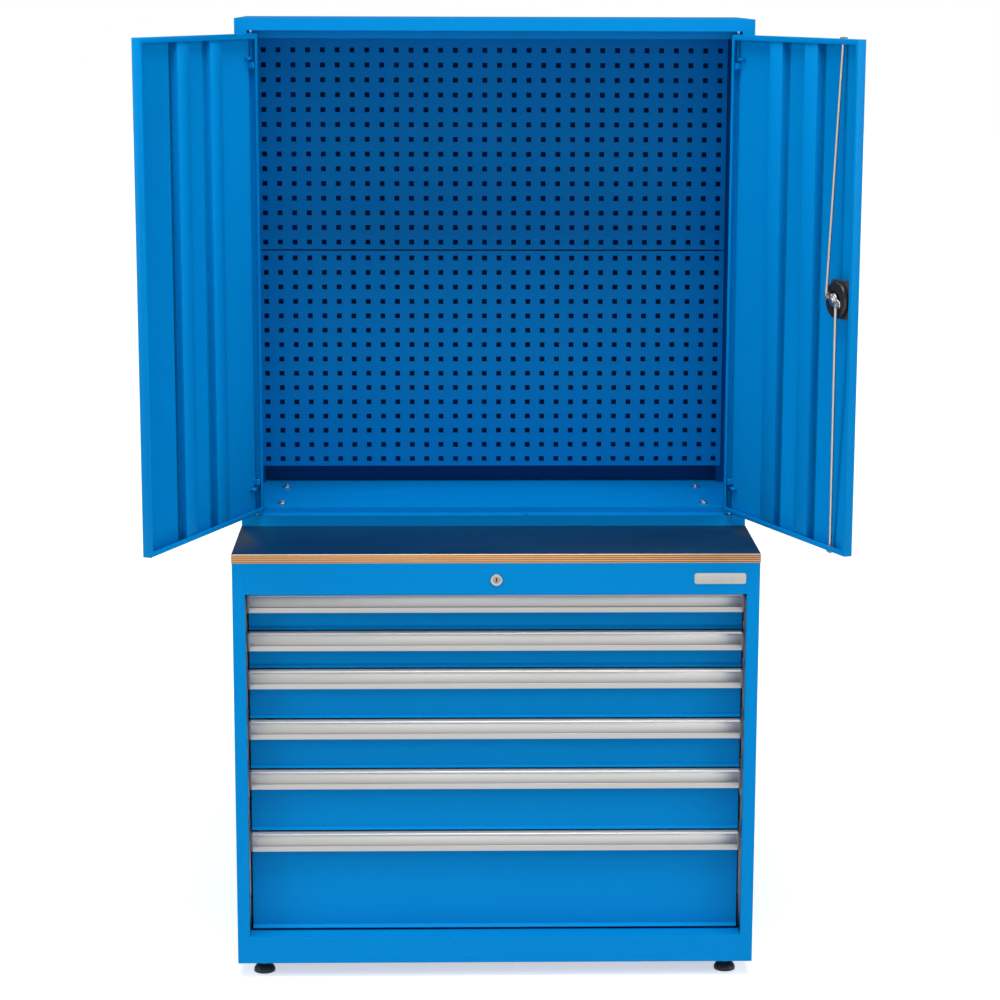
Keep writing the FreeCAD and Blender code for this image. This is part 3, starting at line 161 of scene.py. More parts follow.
def start(kind, name, **settings):
    """Adds a primitive by itself and names it."""
    if bpy.context.mode != "OBJECT":
        bpy.ops.object.mode_set(mode="OBJECT")
    bpy.ops.object.select_all(action="DESELECT")
    getattr(bpy.ops.mesh, "primitive_" + kind + "_add")(**settings)
    piece = bpy.context.active_object
    piece.name = name
    return piece


def pick(piece, sort, test):
    """Enters edit mode with the faces or edges selected whose middle and direction pass the test."""
    bpy.ops.object.mode_set(mode="OBJECT")
    mesh = piece.data
    for part in list(mesh.vertices) + list(mesh.edges) + list(mesh.polygons):
        part.select = False
    if sort == "faces":
        bpy.context.tool_settings.mesh_select_mode = (False, False, True)
        for face in mesh.polygons:
            face.select = test(face.center, face.normal)
    else:
        bpy.context.tool_settings.mesh_select_mode = (False, True, False)
        for edge in mesh.edges:
            first, last = (mesh.vertices[index].co for index in edge.vertices)
            edge.select = test((first + last) / 2, (last - first).normalized())
    bpy.ops.object.mode_set(mode="EDIT")


def settle(piece, width, segments):
    """Rounds the sharp edges by a width, smooths the shading and leaves the piece's place in its mesh."""
    bpy.ops.object.mode_set(mode="OBJECT")
    bpy.ops.object.transform_apply(location=True, rotation=True, scale=True)
    if width:
        edges = piece.modifiers.new("Edges", "BEVEL")
        edges.width = width
        edges.segments = segments
        edges.limit_method = "ANGLE"
        edges.angle_limit = math.radians(30)
        edges.harden_normals = True
        bpy.ops.object.modifier_apply(modifier=edges.name)
    bpy.ops.object.shade_smooth_by_angle(angle=math.radians(38))


def joined(pieces, name):
    """Several finished shapes as one piece."""
    bpy.ops.object.select_all(action="DESELECT")
    for piece in pieces:
        piece.select_set(True)
    bpy.context.view_layer.objects.active = pieces[0]
    bpy.ops.object.join()
    pieces[0].name = name
    return pieces[0]


def belong(piece, body, nodes, material):
    """Gives a finished piece its finish, its body and the CAD nodes that it stands for."""
    piece.data.materials.clear()
    piece.data.materials.append(material)
    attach(piece, body)
    if nodes:
        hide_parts(*nodes)


def moulded_plastic(name, colour, second, roughness, grain):
    """A moulded thermoplastic with an eroded grain, its scale given per metre."""
    material, tree = new_material(name)
    place = add_node(tree, "ShaderNodeTexCoord", {}, {})
    pits = add_node(tree, "ShaderNodeTexNoise", {"Scale": grain, "Detail": 2.0}, {"Vector": (place, "Object")})
    tone = add_node(tree, "ShaderNodeMix", {"data_type": "RGBA", 6: linear(colour), 7: linear(second)},
                    {0: (pits, "Fac")})
    gloss = add_node(tree, "ShaderNodeMapRange", {"To Min": roughness - 0.06, "To Max": roughness + 0.08},
                     {"Value": (pits, "Fac")})
    relief = add_node(tree, "ShaderNodeBump", {"Strength": 0.25, "Distance": 0.0002},
                      {"Height": (pits, "Fac")})
    plastic = add_node(tree, "ShaderNodeBsdfPrincipled", {"IOR": 1.5},
                       {"Base Color": (tone, 2), "Roughness": (gloss, "Result"), "Normal": (relief, "Normal")})
    add_node(tree, "ShaderNodeOutputMaterial", {}, {"Surface": (plastic, "BSDF")})
    return material


black_nylon = moulded_plastic("black_nylon_fine_grain", "#151517", "#1E1E21", 0.46, 900.0)
pads_low, pads_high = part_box("foot_pads")
pad_radius = 0.021
pad_rim = 0.004
# the dome above the rim: how far each step rises, and the share of the width that it keeps
dome_steps = ((0.004, 0.93), (0.004, 0.85), (0.0029, 0.80))
pads = []
for x in (pads_low.x + pad_radius, pads_high.x - pad_radius):
    for y in (pads_low.y + pad_radius, pads_high.y - pad_radius):
        pad = start("cylinder", "pad", vertices=48, radius=pad_radius, depth=pad_rim,
                    location=(x, y, pad_rim / 2))
        for rise, share in dome_steps:
            pick(pad, "faces", lambda middle, normal: normal.z > 0.9)
            bpy.ops.mesh.extrude_region_move(TRANSFORM_OT_translate={"value": (0, 0, rise)})
            bpy.ops.transform.resize(value=(share, share, 1), center_override=(x, y, 0))
        settle(pad, 0.0006, 2)
        pads.append(pad)
belong(joined(pads, "levelling_pads"), "cabinet", ["foot_pads"], black_nylon)
dress("foot_studs", plated_steel("zinc_plated_stud", "#B5B5B0", "#D9D8D2", 0.25, 0.4, (10, 10, 4000)))

# Worktop: 18 mm birch plywood with a dark blue phenolic film on both faces.
# The film carries the fine imprint of a wire mesh; the raw edges show the plies, sanded and oiled.


def block(name, first, last):
    """A block between two opposite corners."""
    piece = start("cube", name, size=1, location=(first + last) / 2)
    piece.scale = [abs(size) for size in last - first]
    bpy.ops.object.transform_apply(location=True, rotation=True, scale=True)
    return piece


board_low, board_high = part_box("worktop")
board = block("worktop_board", board_low, board_high)
settle(board, 0.0007, 2)

film, tree = new_material("phenolic_film_dark_blue_mesh")
place = add_node(tree, "ShaderNodeTexCoord", {}, {})
turned = add_node(tree, "ShaderNodeMapping", {"Rotation": (0, 0, math.radians(45))},
                  {"Vector": (place, "Object")})
# mesh imprint, real wires 1.4 mm apart drawn 3 mm apart so that they show
wires = [
    add_node(tree, "ShaderNodeTexWave", {"bands_direction": direction, "Scale": 52.0, "Distortion": 0.3},
             {"Vector": (turned, "Vector")})
    for direction in ("X", "Y")
]
mesh_print = add_node(tree, "ShaderNodeMath", {"operation": "MULTIPLY"},
                      {0: (wires[0], "Fac"), 1: (wires[1], "Fac")})
streak = add_node(tree, "ShaderNodeTexNoise", {"Scale": 6.0, "Detail": 4.0}, {"Vector": (place, "Object")})
tone = add_node(tree, "ShaderNodeMix", {"data_type": "RGBA", 6: linear("#072C4A"), 7: linear("#0A3556")},
                {0: (streak, "Fac")})
dots = add_node(tree, "ShaderNodeMix", {"data_type": "RGBA", "blend_type": "MULTIPLY", 7: linear("#B9C4D6")},
                {0: (mesh_print, "Value"), 6: (tone, 2)})
relief = add_node(tree, "ShaderNodeBump", {"Strength": 0.35, "Distance": 0.0003},
                  {"Height": (mesh_print, "Value")})
gloss = add_node(tree, "ShaderNodeMapRange", {"To Min": 0.27, "To Max": 0.4}, {"Value": (streak, "Fac")})
shader = add_node(tree, "ShaderNodeBsdfPrincipled", {"IOR": 1.55},
                  {"Base Color": (dots, 2), "Roughness": (gloss, "Result"), "Normal": (relief, "Normal")})
add_node(tree, "ShaderNodeOutputMaterial", {}, {"Surface": (shader, "BSDF")})

plies, tree = new_material("birch_plywood_edge")
place = add_node(tree, "ShaderNodeTexCoord", {}, {})
seat = add_node(tree, "ShaderNodeMapping", {"Location": (0, 0, -board_low.z)}, {"Vector": (place, "Object")})
axes = add_node(tree, "ShaderNodeSeparateXYZ", {}, {"Vector": (seat, "Vector")})
# one pair of plies is 4 mm: 2.4 mm along the grain, pale, and 1.6 mm end grain, brown, a little wavy
ply_pair = 0.0040
ply_wave = 0.0005
film_edge = 0.0166
wander = add_node(tree, "ShaderNodeTexNoise", {"Scale": 9.0, "Detail": 2.0}, {"Vector": (place, "Object")})
bend = add_node(tree, "ShaderNodeMath", {"operation": "MULTIPLY_ADD", 1: ply_wave},
                {0: (wander, "Fac"), 2: (axes, "Z")})
step = add_node(tree, "ShaderNodeMath", {"operation": "DIVIDE", 1: ply_pair}, {0: (bend, "Value")})
ply = add_node(tree, "ShaderNodeMath", {"operation": "FRACT"}, {0: (step, "Value")})
bands = add_node(tree, "ShaderNodeValToRGB", {}, {"Fac": (ply, "Value")})
ramp = bands.color_ramp.elements
ramp[0].position = 0.0
ramp[0].color = linear("#DDA76C")
ramp[1].position = 0.52
ramp[1].color = linear("#E2B57E")
for share, colour in ((0.64, "#7E4522"), (0.88, "#884D29"), (1.0, "#DDA76C")):
    ramp.new(share).color = linear(colour)
fibre_place = add_node(tree, "ShaderNodeMapping", {"Scale": (30, 30, 700)}, {"Vector": (place, "Object")})
fibre = add_node(tree, "ShaderNodeTexNoise", {"Scale": 1.0, "Detail": 4.0},
                 {"Vector": (fibre_place, "Vector")})
grain = add_node(tree, "ShaderNodeMix", {"data_type": "RGBA", "blend_type": "MULTIPLY", 7: linear("#E2D6C6")},
                 {0: (fibre, "Fac"), 6: (bands, "Color")})
# the topmost millimetre, with the film's edge, is coloured pale
above = add_node(tree, "ShaderNodeMath", {"operation": "GREATER_THAN", 1: film_edge}, {0: (axes, "Z")})
pale_top = add_node(tree, "ShaderNodeMix", {"data_type": "RGBA", 7: linear("#FAE8CC")},
                  {0: (above, "Value"), 6: (grain, 2)})
relief = add_node(tree, "ShaderNodeBump", {"Strength": 0.2, "Distance": 0.0003}, {"Height": (fibre, "Fac")})
shader = add_node(tree, "ShaderNodeBsdfPrincipled", {"Roughness": 0.55},
                  {"Base Color": (pale_top, 2), "Normal": (relief, "Normal")})
add_node(tree, "ShaderNodeOutputMaterial", {}, {"Surface": (shader, "BSDF")})

belong(board, "cabinet", ["worktop"], film)
board.data.materials.append(plies)
for face in board.data.polygons:
    face.material_index = 0 if abs(face.normal.z) > 0.8 else 1

# Central lock of the drawers: a zinc die-cast cylinder with a bright flange, held by a nut.
# Its plug turns in the flange and has the slot for a flat key.

die_cast_zinc = plated_steel("die_cast_zinc_bright", "#9C9A98", "#B0AEAA", 0.2, 0.34, (300, 300, 300))
body_low, body_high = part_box("drawer_lock_body")
lock_x = 0.0
lock_z = (body_low.z + body_high.z) / 2
flange_radius = 0.0115
flange_thickness = 0.002
barrel_radius = 0.009
barrel_length = 0.026
plug_way_radius = 0.0062
# the turn that makes a cylinder face the front
facing_front = (math.radians(90), 0, 0)
flange = start("cylinder", "lock_flange", vertices=48, radius=flange_radius, depth=flange_thickness,
               location=(lock_x, body_low.y + flange_thickness / 2, lock_z), rotation=facing_front)
bpy.ops.object.transform_apply(location=True, rotation=True, scale=True)
pick(flange, "faces", lambda middle, normal: abs(normal.y) > 0.9)
bpy.ops.mesh.inset(thickness=flange_radius - plug_way_radius)
bpy.ops.mesh.bridge_edge_loops()
settle(flange, 0.0007, 3)
barrel = start("cylinder", "lock_barrel", vertices=40, radius=barrel_radius, depth=barrel_length,
               location=(lock_x, body_high.y - barrel_length / 2, lock_z), rotation=facing_front)
bpy.ops.object.transform_apply(location=True, rotation=True, scale=True)
pick(barrel, "faces", lambda middle, normal: abs(normal.y) > 0.9)
bpy.ops.mesh.inset(thickness=barrel_radius - plug_way_radius)
bpy.ops.mesh.bridge_edge_loops()
settle(barrel, 0.0004, 2)
belong(joined([flange, barrel], "drawer_lock_cylinder"), "cabinet", ["drawer_lock_body"],
       die_cast_zinc)

plug_metal, tree = new_material("nickel_plated_plug_painted_shade_slot")
place = add_node(tree, "ShaderNodeTexCoord", {}, {})
seat = add_node(tree, "ShaderNodeMapping", {"Location": (0, 0, -lock_z)}, {"Vector": (place, "Object")})
axes = add_node(tree, "ShaderNodeSeparateXYZ", {}, {"Vector": (seat, "Vector")})
# painted shade in the key slot: black inside it, real width 1.6 mm, drawn 2.6 mm wide so that it shows
slot_half_width = 0.0013
slot_half_length = 0.0038
across_slot = add_node(tree, "ShaderNodeMath", {"operation": "ABSOLUTE"}, {0: (axes, "X")})
along_slot = add_node(tree, "ShaderNodeMath", {"operation": "ABSOLUTE"}, {0: (axes, "Z")})
beside = add_node(tree, "ShaderNodeMath", {"operation": "LESS_THAN", 1: slot_half_width},
                  {0: (across_slot, "Value")})
within = add_node(tree, "ShaderNodeMath", {"operation": "LESS_THAN", 1: slot_half_length},
                  {0: (along_slot, "Value")})
in_slot = add_node(tree, "ShaderNodeMath", {"operation": "MULTIPLY"},
                   {0: (beside, "Value"), 1: (within, "Value")})
smear = add_node(tree, "ShaderNodeTexNoise", {"Scale": 500.0, "Detail": 3.0}, {"Vector": (place, "Object")})
tone = add_node(tree, "ShaderNodeMix", {"data_type": "RGBA", 6: linear("#8A8078"), 7: linear("#A0968C")},
                {0: (smear, "Fac")})
slot_painted_shade = add_node(tree, "ShaderNodeMix", {"data_type": "RGBA", 7: linear("#0B0B0C")},
                {0: (in_slot, "Value"), 6: (tone, 2)})
gloss = add_node(tree, "ShaderNodeMapRange", {"To Min": 0.3, "To Max": 0.45}, {"Value": (smear, "Fac")})
shader = add_node(tree, "ShaderNodeBsdfPrincipled", {"Metallic": 0.8},
                  {"Base Color": (slot_painted_shade, 2), "Roughness": (gloss, "Result")})
add_node(tree, "ShaderNodeOutputMaterial", {}, {"Surface": (shader, "BSDF")})
dress("drawer_lock_plug", plug_metal)

# Plate at the right of the top rail: thin anodised aluminium with rounded corners, left bare.
# Its face lies a little inside a narrow rim, and the brushing runs upright.

plate_low, plate_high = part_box("name_plate")
plate_corner = 0.004
plate_rim = 0.0012
plate_sink = 0.0003
plate = block("bare_plate", plate_low, plate_high)
pick(plate, "edges", lambda middle, along: abs(along.y) > 0.9)
bpy.ops.mesh.bevel(offset=plate_corner, segments=6)
pick(plate, "faces", lambda middle, normal: normal.y < -0.9)
bpy.ops.mesh.inset(thickness=plate_rim)
bpy.ops.transform.translate(value=(0, plate_sink, 0))
settle(plate, 0.0002, 2)
satin_plate = plated_steel("satin_anodised_plate", "#A6A7A4", "#B4B4B0", 0.45, 0.55, (900, 4, 12))
belong(plate, "cabinet", ["name_plate"], satin_plate)

# Drawers: folded trays of 1.2 mm sheet, powder coated in the same blue inside and out.
# The front and the inner slide members are welded to the tray and coated with it.

for number in range(1, 7):
    dress("drawer_%d" % number, light_blue_coat)

# Drawer handles: one extruded aluminium section over the full width, satin anodised.
# From the top: a rounded nose, a thin groove, a crowned label strip and a flat lip below a small step.

handle_metal_painted_light_and_shade, tree = new_material("satin_anodised_extrusion_painted_light_and_shade")
place = add_node(tree, "ShaderNodeTexCoord", {}, {})
# die lines run along the bar, real ones 0.3 mm apart, drawn 0.9 mm apart
drawn = add_node(tree, "ShaderNodeMapping", {"Scale": (0.08, 1100, 1100)}, {"Vector": (place, "Object")})
lines = add_node(tree, "ShaderNodeTexNoise", {"Scale": 1.0, "Detail": 3.0}, {"Vector": (drawn, "Vector")})
gloss = add_node(tree, "ShaderNodeMapRange", {"To Min": 0.38, "To Max": 0.44}, {"Value": (lines, "Fac")})
# each handle carries the distance below its top edge, in millimetres; by it the colour paints light and shade:
# a painted highlight on the nose, painted shade in the thin groove, and painted shade that turns the label
# strip from pale to mid grey downwards
below = add_node(tree, "ShaderNodeAttribute", {"attribute_name": "below_top"}, {})
whole_drop = 36.0
share = add_node(tree, "ShaderNodeMath", {"operation": "DIVIDE", 1: whole_drop}, {0: (below, "Fac")})
bands = add_node(tree, "ShaderNodeValToRGB", {}, {"Fac": (share, "Value")})
ramp = bands.color_ramp.elements
ramp[0].position = 3.3 / whole_drop
ramp[0].color = linear("#D6D5D2")
ramp[1].position = 25.2 / whole_drop
ramp[1].color = linear("#B7B5B1")
# the dark stop at 3.9 mm is painted shade in the groove, and the fall from 9 to 24.4 mm is painted shade down
# the strip
for drop, colour in ((3.9, "#9A9894"), (4.4, "#CDCCC9"), (9.0, "#CCCBC8"), (24.4, "#989693")):
    ramp.new(drop / whole_drop).color = linear(colour)
tone = add_node(tree, "ShaderNodeMix", {"data_type": "RGBA", "blend_type": "MULTIPLY", 7: linear("#F6F6F6")},
                {0: (lines, "Fac"), 6: (bands, "Color")})
relief = add_node(tree, "ShaderNodeBump", {"Strength": 0.02, "Distance": 0.0002}, {"Height": (lines, "Fac")})
shader = add_node(tree, "ShaderNodeBsdfPrincipled", {"Metallic": 0.5},
                  {"Base Color": (tone, 2), "Roughness": (gloss, "Result"), "Normal": (relief, "Normal")})
add_node(tree, "ShaderNodeOutputMaterial", {}, {"Surface": (shader, "BSDF")})

handle_low, handle_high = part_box("drawer_handle_1")
handle_wall = 0.0024
nose_height = 0.0033
nose_radius = 0.0028
leg_length = 0.0043
# an edge is found by its place, within this distance
edge_tolerance = 0.00005
handle = start("cube", "drawer_handle_bar_1", size=1,
               location=((handle_low.x + handle_high.x) / 2, handle_low.y + handle_wall / 2,
                         (handle_low.z + handle_high.z) / 2))
handle.scale = (handle_high.x - handle_low.x, handle_wall, handle_high.z - handle_low.z)
bpy.ops.object.transform_apply(location=True, rotation=True, scale=True)
# the face from the top down: millimetres below the top, and millimetres behind the foremost line
section = ((3.3, 0.0), (3.5, 1.4), (4.0, 1.4), (4.2, 0.7), (6.0, 0.35), (8.0, 0.12), (10.0, 0.0), (12.4, 0.02),
           (14.8, 0.14), (17.2, 0.36), (19.6, 0.68), (22.2, 1.12), (24.6, 1.6), (24.9, 1.2), (25.4, 0.0))
for drop, depth in section:
    bpy.ops.object.mode_set(mode="EDIT")
    bpy.ops.mesh.select_all(action="SELECT")
    bpy.ops.mesh.bisect(plane_co=(0, 0, handle_high.z - drop / 1000), plane_no=(0, 0, 1))
for drop, depth in section:
    pick(handle, "edges", lambda middle, along: abs(along.x) > 0.9
         and middle.y < handle_low.y + handle_wall / 2
         and abs(middle.z - handle_high.z + drop / 1000) < edge_tolerance)
    bpy.ops.transform.translate(value=(0, depth / 1000, 0))
# the top goes back to the drawer front, with a short leg down against it
pick(handle, "faces", lambda middle, normal: normal.y > 0.9 and middle.z > handle_high.z - nose_height)
for reach in (handle_high.y - handle_low.y - 2 * handle_wall, handle_wall):
    bpy.ops.mesh.extrude_region_move(TRANSFORM_OT_translate={"value": (0, reach, 0)})
pick(handle, "faces", lambda middle, normal: normal.z < -0.9 and middle.y > handle_high.y - handle_wall)
bpy.ops.mesh.extrude_region_move(TRANSFORM_OT_translate={"value": (0, 0, -leg_length)})
# rounded nose
pick(handle, "edges", lambda middle, along: abs(along.x) > 0.9 and middle.y < handle_low.y + edge_tolerance
     and middle.z > handle_high.z - edge_tolerance)
bpy.ops.mesh.bevel(offset=nose_radius, segments=6)
settle(handle, 0.0002, 2)
bpy.ops.object.mode_set(mode="EDIT")
bpy.ops.mesh.select_all(action="SELECT")
bpy.ops.mesh.normals_make_consistent(inside=False)
bpy.ops.object.mode_set(mode="OBJECT")
drops = handle.data.attributes.new("below_top", "FLOAT", "POINT")
for vertex in handle.data.vertices:
    drops.data[vertex.index].value = (handle_high.z - vertex.co.z) * 1000
for number in range(2, 7):
    bar = handle.copy()
    bar.data = handle.data.copy()
    bar.name = "drawer_handle_bar_%d" % number
    bpy.context.collection.objects.link(bar)
    bar.data.transform(Matrix.Translation(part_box("drawer_handle_%d" % number)[1] - handle_high))
for number in range(1, 7):
    belong(bpy.data.objects["drawer_handle_bar_%d" % number], "drawer_%d" % number,
           ["drawer_handle_%d" % number], handle_metal_painted_light_and_shade)

# End caps of the handles: black moulded plastic, pushed onto both ends of the section.
# They follow the section, and their outer face is softly bulged.

# the black caps are coloured mid grey: painted light, so that they show lit beside the shaded stiles
cap_plastic_painted_light = moulded_plastic("black_moulded_cap_painted_light", "#5A5962", "#6A6972", 0.36, 700.0)
cap_width = 0.0046
cap_head = 0.0076
cap_front_depth = 0.0050
for number in range(1, 7):
    caps_low, caps_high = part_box("handle_caps_%d" % number)
    ends = []
    for side in (-1, 1):
        outer = caps_high.x if side > 0 else caps_low.x
        cap = block("cap", Vector((outer, caps_low.y, caps_low.z)),
                    Vector((outer - side * cap_width, caps_high.y, caps_high.z)))
        # full depth above, only the front wall beside the finger gap
        bpy.ops.object.mode_set(mode="EDIT")
        bpy.ops.mesh.select_all(action="SELECT")
        bpy.ops.mesh.bisect(plane_co=(0, 0, caps_high.z - cap_head), plane_no=(0, 0, 1))
        pick(cap, "edges", lambda middle, along: abs(along.x) > 0.9 and middle.z < caps_low.z + edge_tolerance
             and middle.y > caps_high.y - edge_tolerance)
        bpy.ops.transform.translate(value=(0, caps_low.y + cap_front_depth - caps_high.y, 0))
        pick(cap, "edges", lambda middle, along: abs(along.x) > 0.9 and middle.z > caps_high.z - edge_tolerance
             and middle.y < caps_low.y + edge_tolerance)
        bpy.ops.mesh.bevel(offset=nose_radius, segments=5)
        settle(cap, 0.0014, 4)
        ends.append(cap)
    belong(joined(ends, "handle_end_caps_%d" % number), "drawer_%d" % number,
           ["handle_caps_%d" % number], cap_plastic_painted_light)

# Upper cabinet: sides, roof, floor and back of the same folded and powder-coated sheet.
# The perforated panels are 1.2 mm sheet, punched with 10 mm square holes every 30 mm.
# Behind them, the rear sheet's inner face and the brackets have the same coat in a deeper and flatter blue:
# painted shade.

for node in ("hutch_left_side", "hutch_right_side", "hutch_roof", "hutch_floor", "peg_panels"):
    dress(node, light_blue_coat)
# a darker copy of the blue coat: painted shade for the sheet seen through the holes and for the brackets
# behind
painted_shade_coat = powder_coat("powder_coat_painted_shade_behind_panels", "#004C88", "#00467E", 0.5)
tree = painted_shade_coat.node_tree
paint = next(node for node in tree.nodes if node.type == "BSDF_PRINCIPLED")
painted_shade_tone = paint.inputs["Base Color"].links[0].from_node
place = add_node(tree, "ShaderNodeTexCoord", {}, {})
axes = add_node(tree, "ShaderNodeSeparateXYZ", {}, {"Vector": (place, "Object")})
# the outer face, 0.4 mm deep, has the cabinet's coat without the painted shade
outer_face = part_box("hutch_back")[1].y - 0.0004
outside = add_node(tree, "ShaderNodeMath", {"operation": "GREATER_THAN", 1: outer_face}, {0: (axes, "Y")})
faces = add_node(tree, "ShaderNodeMix", {"data_type": "RGBA", 7: linear("#0083CA")},
                 {0: (outside, "Value"), 6: (painted_shade_tone, 2)})
tree.links.new(faces.outputs[2], paint.inputs["Base Color"])
for node in ("hutch_back", "peg_supports"):
    dress(node, painted_shade_coat)

# Four hexagon bolts with washers fix the upper cabinet through its floor to the worktop.
# They are zinc plated and bright, and the top of each head is a little sunk inside a rim.

bolts_low, bolts_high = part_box("hutch_bolts")
bright_zinc = plated_steel("bright_zinc_fastener", "#CFCFCA", "#D9D8D2", 0.2, 0.34, (300, 300, 300))
washer_radius = 0.009
washer_thickness = 0.0016
head_radius = 0.0065
head_height = 0.005
head_rim = 0.0009
head_sink = 0.0006
shank_radius = 0.004
shank_top = bolts_high.z - 0.006
bolts = []
for x in (bolts_low.x + washer_radius, bolts_high.x - washer_radius):
    for y in (bolts_low.y + washer_radius, bolts_high.y - washer_radius):
        washer = start("cylinder", "washer", vertices=32, radius=washer_radius, depth=washer_thickness,
                       location=(x, y, bolts_high.z - head_height - washer_thickness / 2))
        settle(washer, 0.0003, 2)
        head = start("cylinder", "head", vertices=6, radius=head_radius, depth=head_height,
                     location=(x, y, bolts_high.z - head_height / 2))
        bpy.ops.object.transform_apply(location=True, rotation=True, scale=True)
        pick(head, "faces", lambda middle, normal: normal.z > 0.9)
        bpy.ops.mesh.inset(thickness=head_rim)
        bpy.ops.mesh.inset(thickness=head_sink)
        bpy.ops.transform.translate(value=(0, 0, -head_sink))
        settle(head, 0.0004, 2)
        shank = start("cylinder", "shank", vertices=24, radius=shank_radius, depth=shank_top - bolts_low.z,
                      location=(x, y, (shank_top + bolts_low.z) / 2))
        settle(shank, 0.0004, 1)
        bolts += [washer, head, shank]
belong(joined(bolts, "floor_bolts"), "cabinet", ["hutch_bolts"], bright_zinc)

# Doors: pans folded from 1.2 mm sheet with a 16 mm wall and a lip all round, coated in the same blue.
# Each is modelled shut, about its hinge pin, and then swung open.

door_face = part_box("hutch_roof")[0].y
door_angle = math.radians(112)
pin_x = 0.4685
pin_depth = 0.0045
sheet = 0.0012
hinge_edge = -0.005
free_edge = 0.467
door_wall = 0.016
door_lip = 0.010
pan_low_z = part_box("left_door_panel")[0].z
pan_high_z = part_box("left_door_panel")[1].z
# the ways of the locking rods: their middle from the pin, and their front and back from the outer face
rod_along = 0.405
way_half_width = 0.0075
way_front = 0.0045
way_back = 0.0148


def on_door(side, along, depth, height):
    """A point of a shut door: how far from the pin, how deep behind the outer face, and how high."""
    return Vector((side * (pin_x - along), door_face + depth, height))


def door_block(name, side, near, far):
    """A block between two such points of a door, each given as (along, depth, height)."""
    return block(name, on_door(side, *near), on_door(side, *far))


def swing(piece, side):
    """Opens a piece of a door about the hinge pin."""
    bpy.ops.object.mode_set(mode="OBJECT")
    bpy.ops.object.select_all(action="DESELECT")
    piece.select_set(True)
    bpy.context.view_layer.objects.active = piece
    bpy.ops.transform.rotate(value=-side * door_angle, orient_axis="Z",
                             center_override=(side * pin_x, door_face + pin_depth, 0))
    bpy.ops.object.transform_apply(location=True, rotation=True, scale=True)


def thicken(piece, even):
    """Gives a folded shell the thickness of the door sheet, inwards, and evenly at the corners if asked."""
    bpy.ops.object.mode_set(mode="OBJECT")
    wall = piece.modifiers.new("Sheet", "SOLIDIFY")
    wall.thickness = sheet
    wall.offset = -1
    wall.use_even_offset = even
    bpy.ops.object.modifier_apply(modifier=wall.name)


for side, word in ((-1, "left"), (1, "right")):
    pan = door_block(word + "_door_pan", side, (hinge_edge, 0, pan_low_z), (free_edge, door_wall, pan_high_z))
    pick(pan, "faces", lambda middle, normal: normal.y > 0.9)
    bpy.ops.mesh.inset(thickness=door_lip)
    bpy.ops.mesh.delete(type="FACE")
    if side > 0:
        # ways of the locking rods through the lower and upper wall
        cuts = [(on_door(side, rod_along + way * way_half_width, 0, 0), (1, 0, 0)) for way in (-1, 1)]
        cuts += [(on_door(side, 0, depth, 0), (0, 1, 0)) for depth in (way_front, way_back)]
        for spot, facing in cuts:
            bpy.ops.mesh.select_all(action="SELECT")
            bpy.ops.mesh.bisect(plane_co=spot, plane_no=facing)
        pick(pan, "faces", lambda middle, normal: abs(normal.z) > 0.9
             and abs(pin_x - rod_along - middle.x) < way_half_width
             and way_front < middle.y - door_face < way_back)
        bpy.ops.mesh.delete(type="FACE")
    thicken(pan, True)
    settle(pan, 0.0009, 3)
    swing(pan, side)
    belong(pan, word + "_door", [word + "_door_panel"], light_blue_coat)

# Door stiffeners: two hat sections per door, folded from 1.2 mm sheet and spot-welded to the door skin.
# They stand upright from the door's lower to its upper wall.

hat_centres = (0.165, 0.296)
hat_half_width = 0.0235
hat_height = 0.012
hat_flange = 0.012
for side, word in ((-1, "left"), (1, "right")):
    hats = []
    for centre in hat_centres:
        hat = door_block("hat", side, (centre - hat_half_width, sheet, pan_low_z + sheet),
                         (centre + hat_half_width, sheet + hat_height, pan_high_z - sheet))
        pick(hat, "faces", lambda middle, normal: normal.y < -0.9 or abs(normal.z) > 0.9)
        bpy.ops.mesh.delete(type="FACE")
        for way in (-1, 1):
            pick(hat, "edges", lambda middle, along: abs(along.z) > 0.9
                 and middle.y < door_face + sheet + edge_tolerance
                 and (middle.x - side * (pin_x - centre)) * way > 0)
            bpy.ops.mesh.extrude_region_move(TRANSFORM_OT_translate={"value": (way * hat_flange, 0, 0)})
        thicken(hat, False)
        settle(hat, 0.0008, 3)
        hats.append(hat)
    ribs = joined(hats, word + "_door_stiffeners")
    swing(ribs, side)
    belong(ribs, word + "_door", [word + "_door_ribs"], light_blue_coat)

# Hinge pins: 6 mm rod at the top and bottom of each door, bent over as a grip, held in a small bracket
# and pushed through the door's wall into the cabinet. They are coated with the door; the tips are bare zinc.

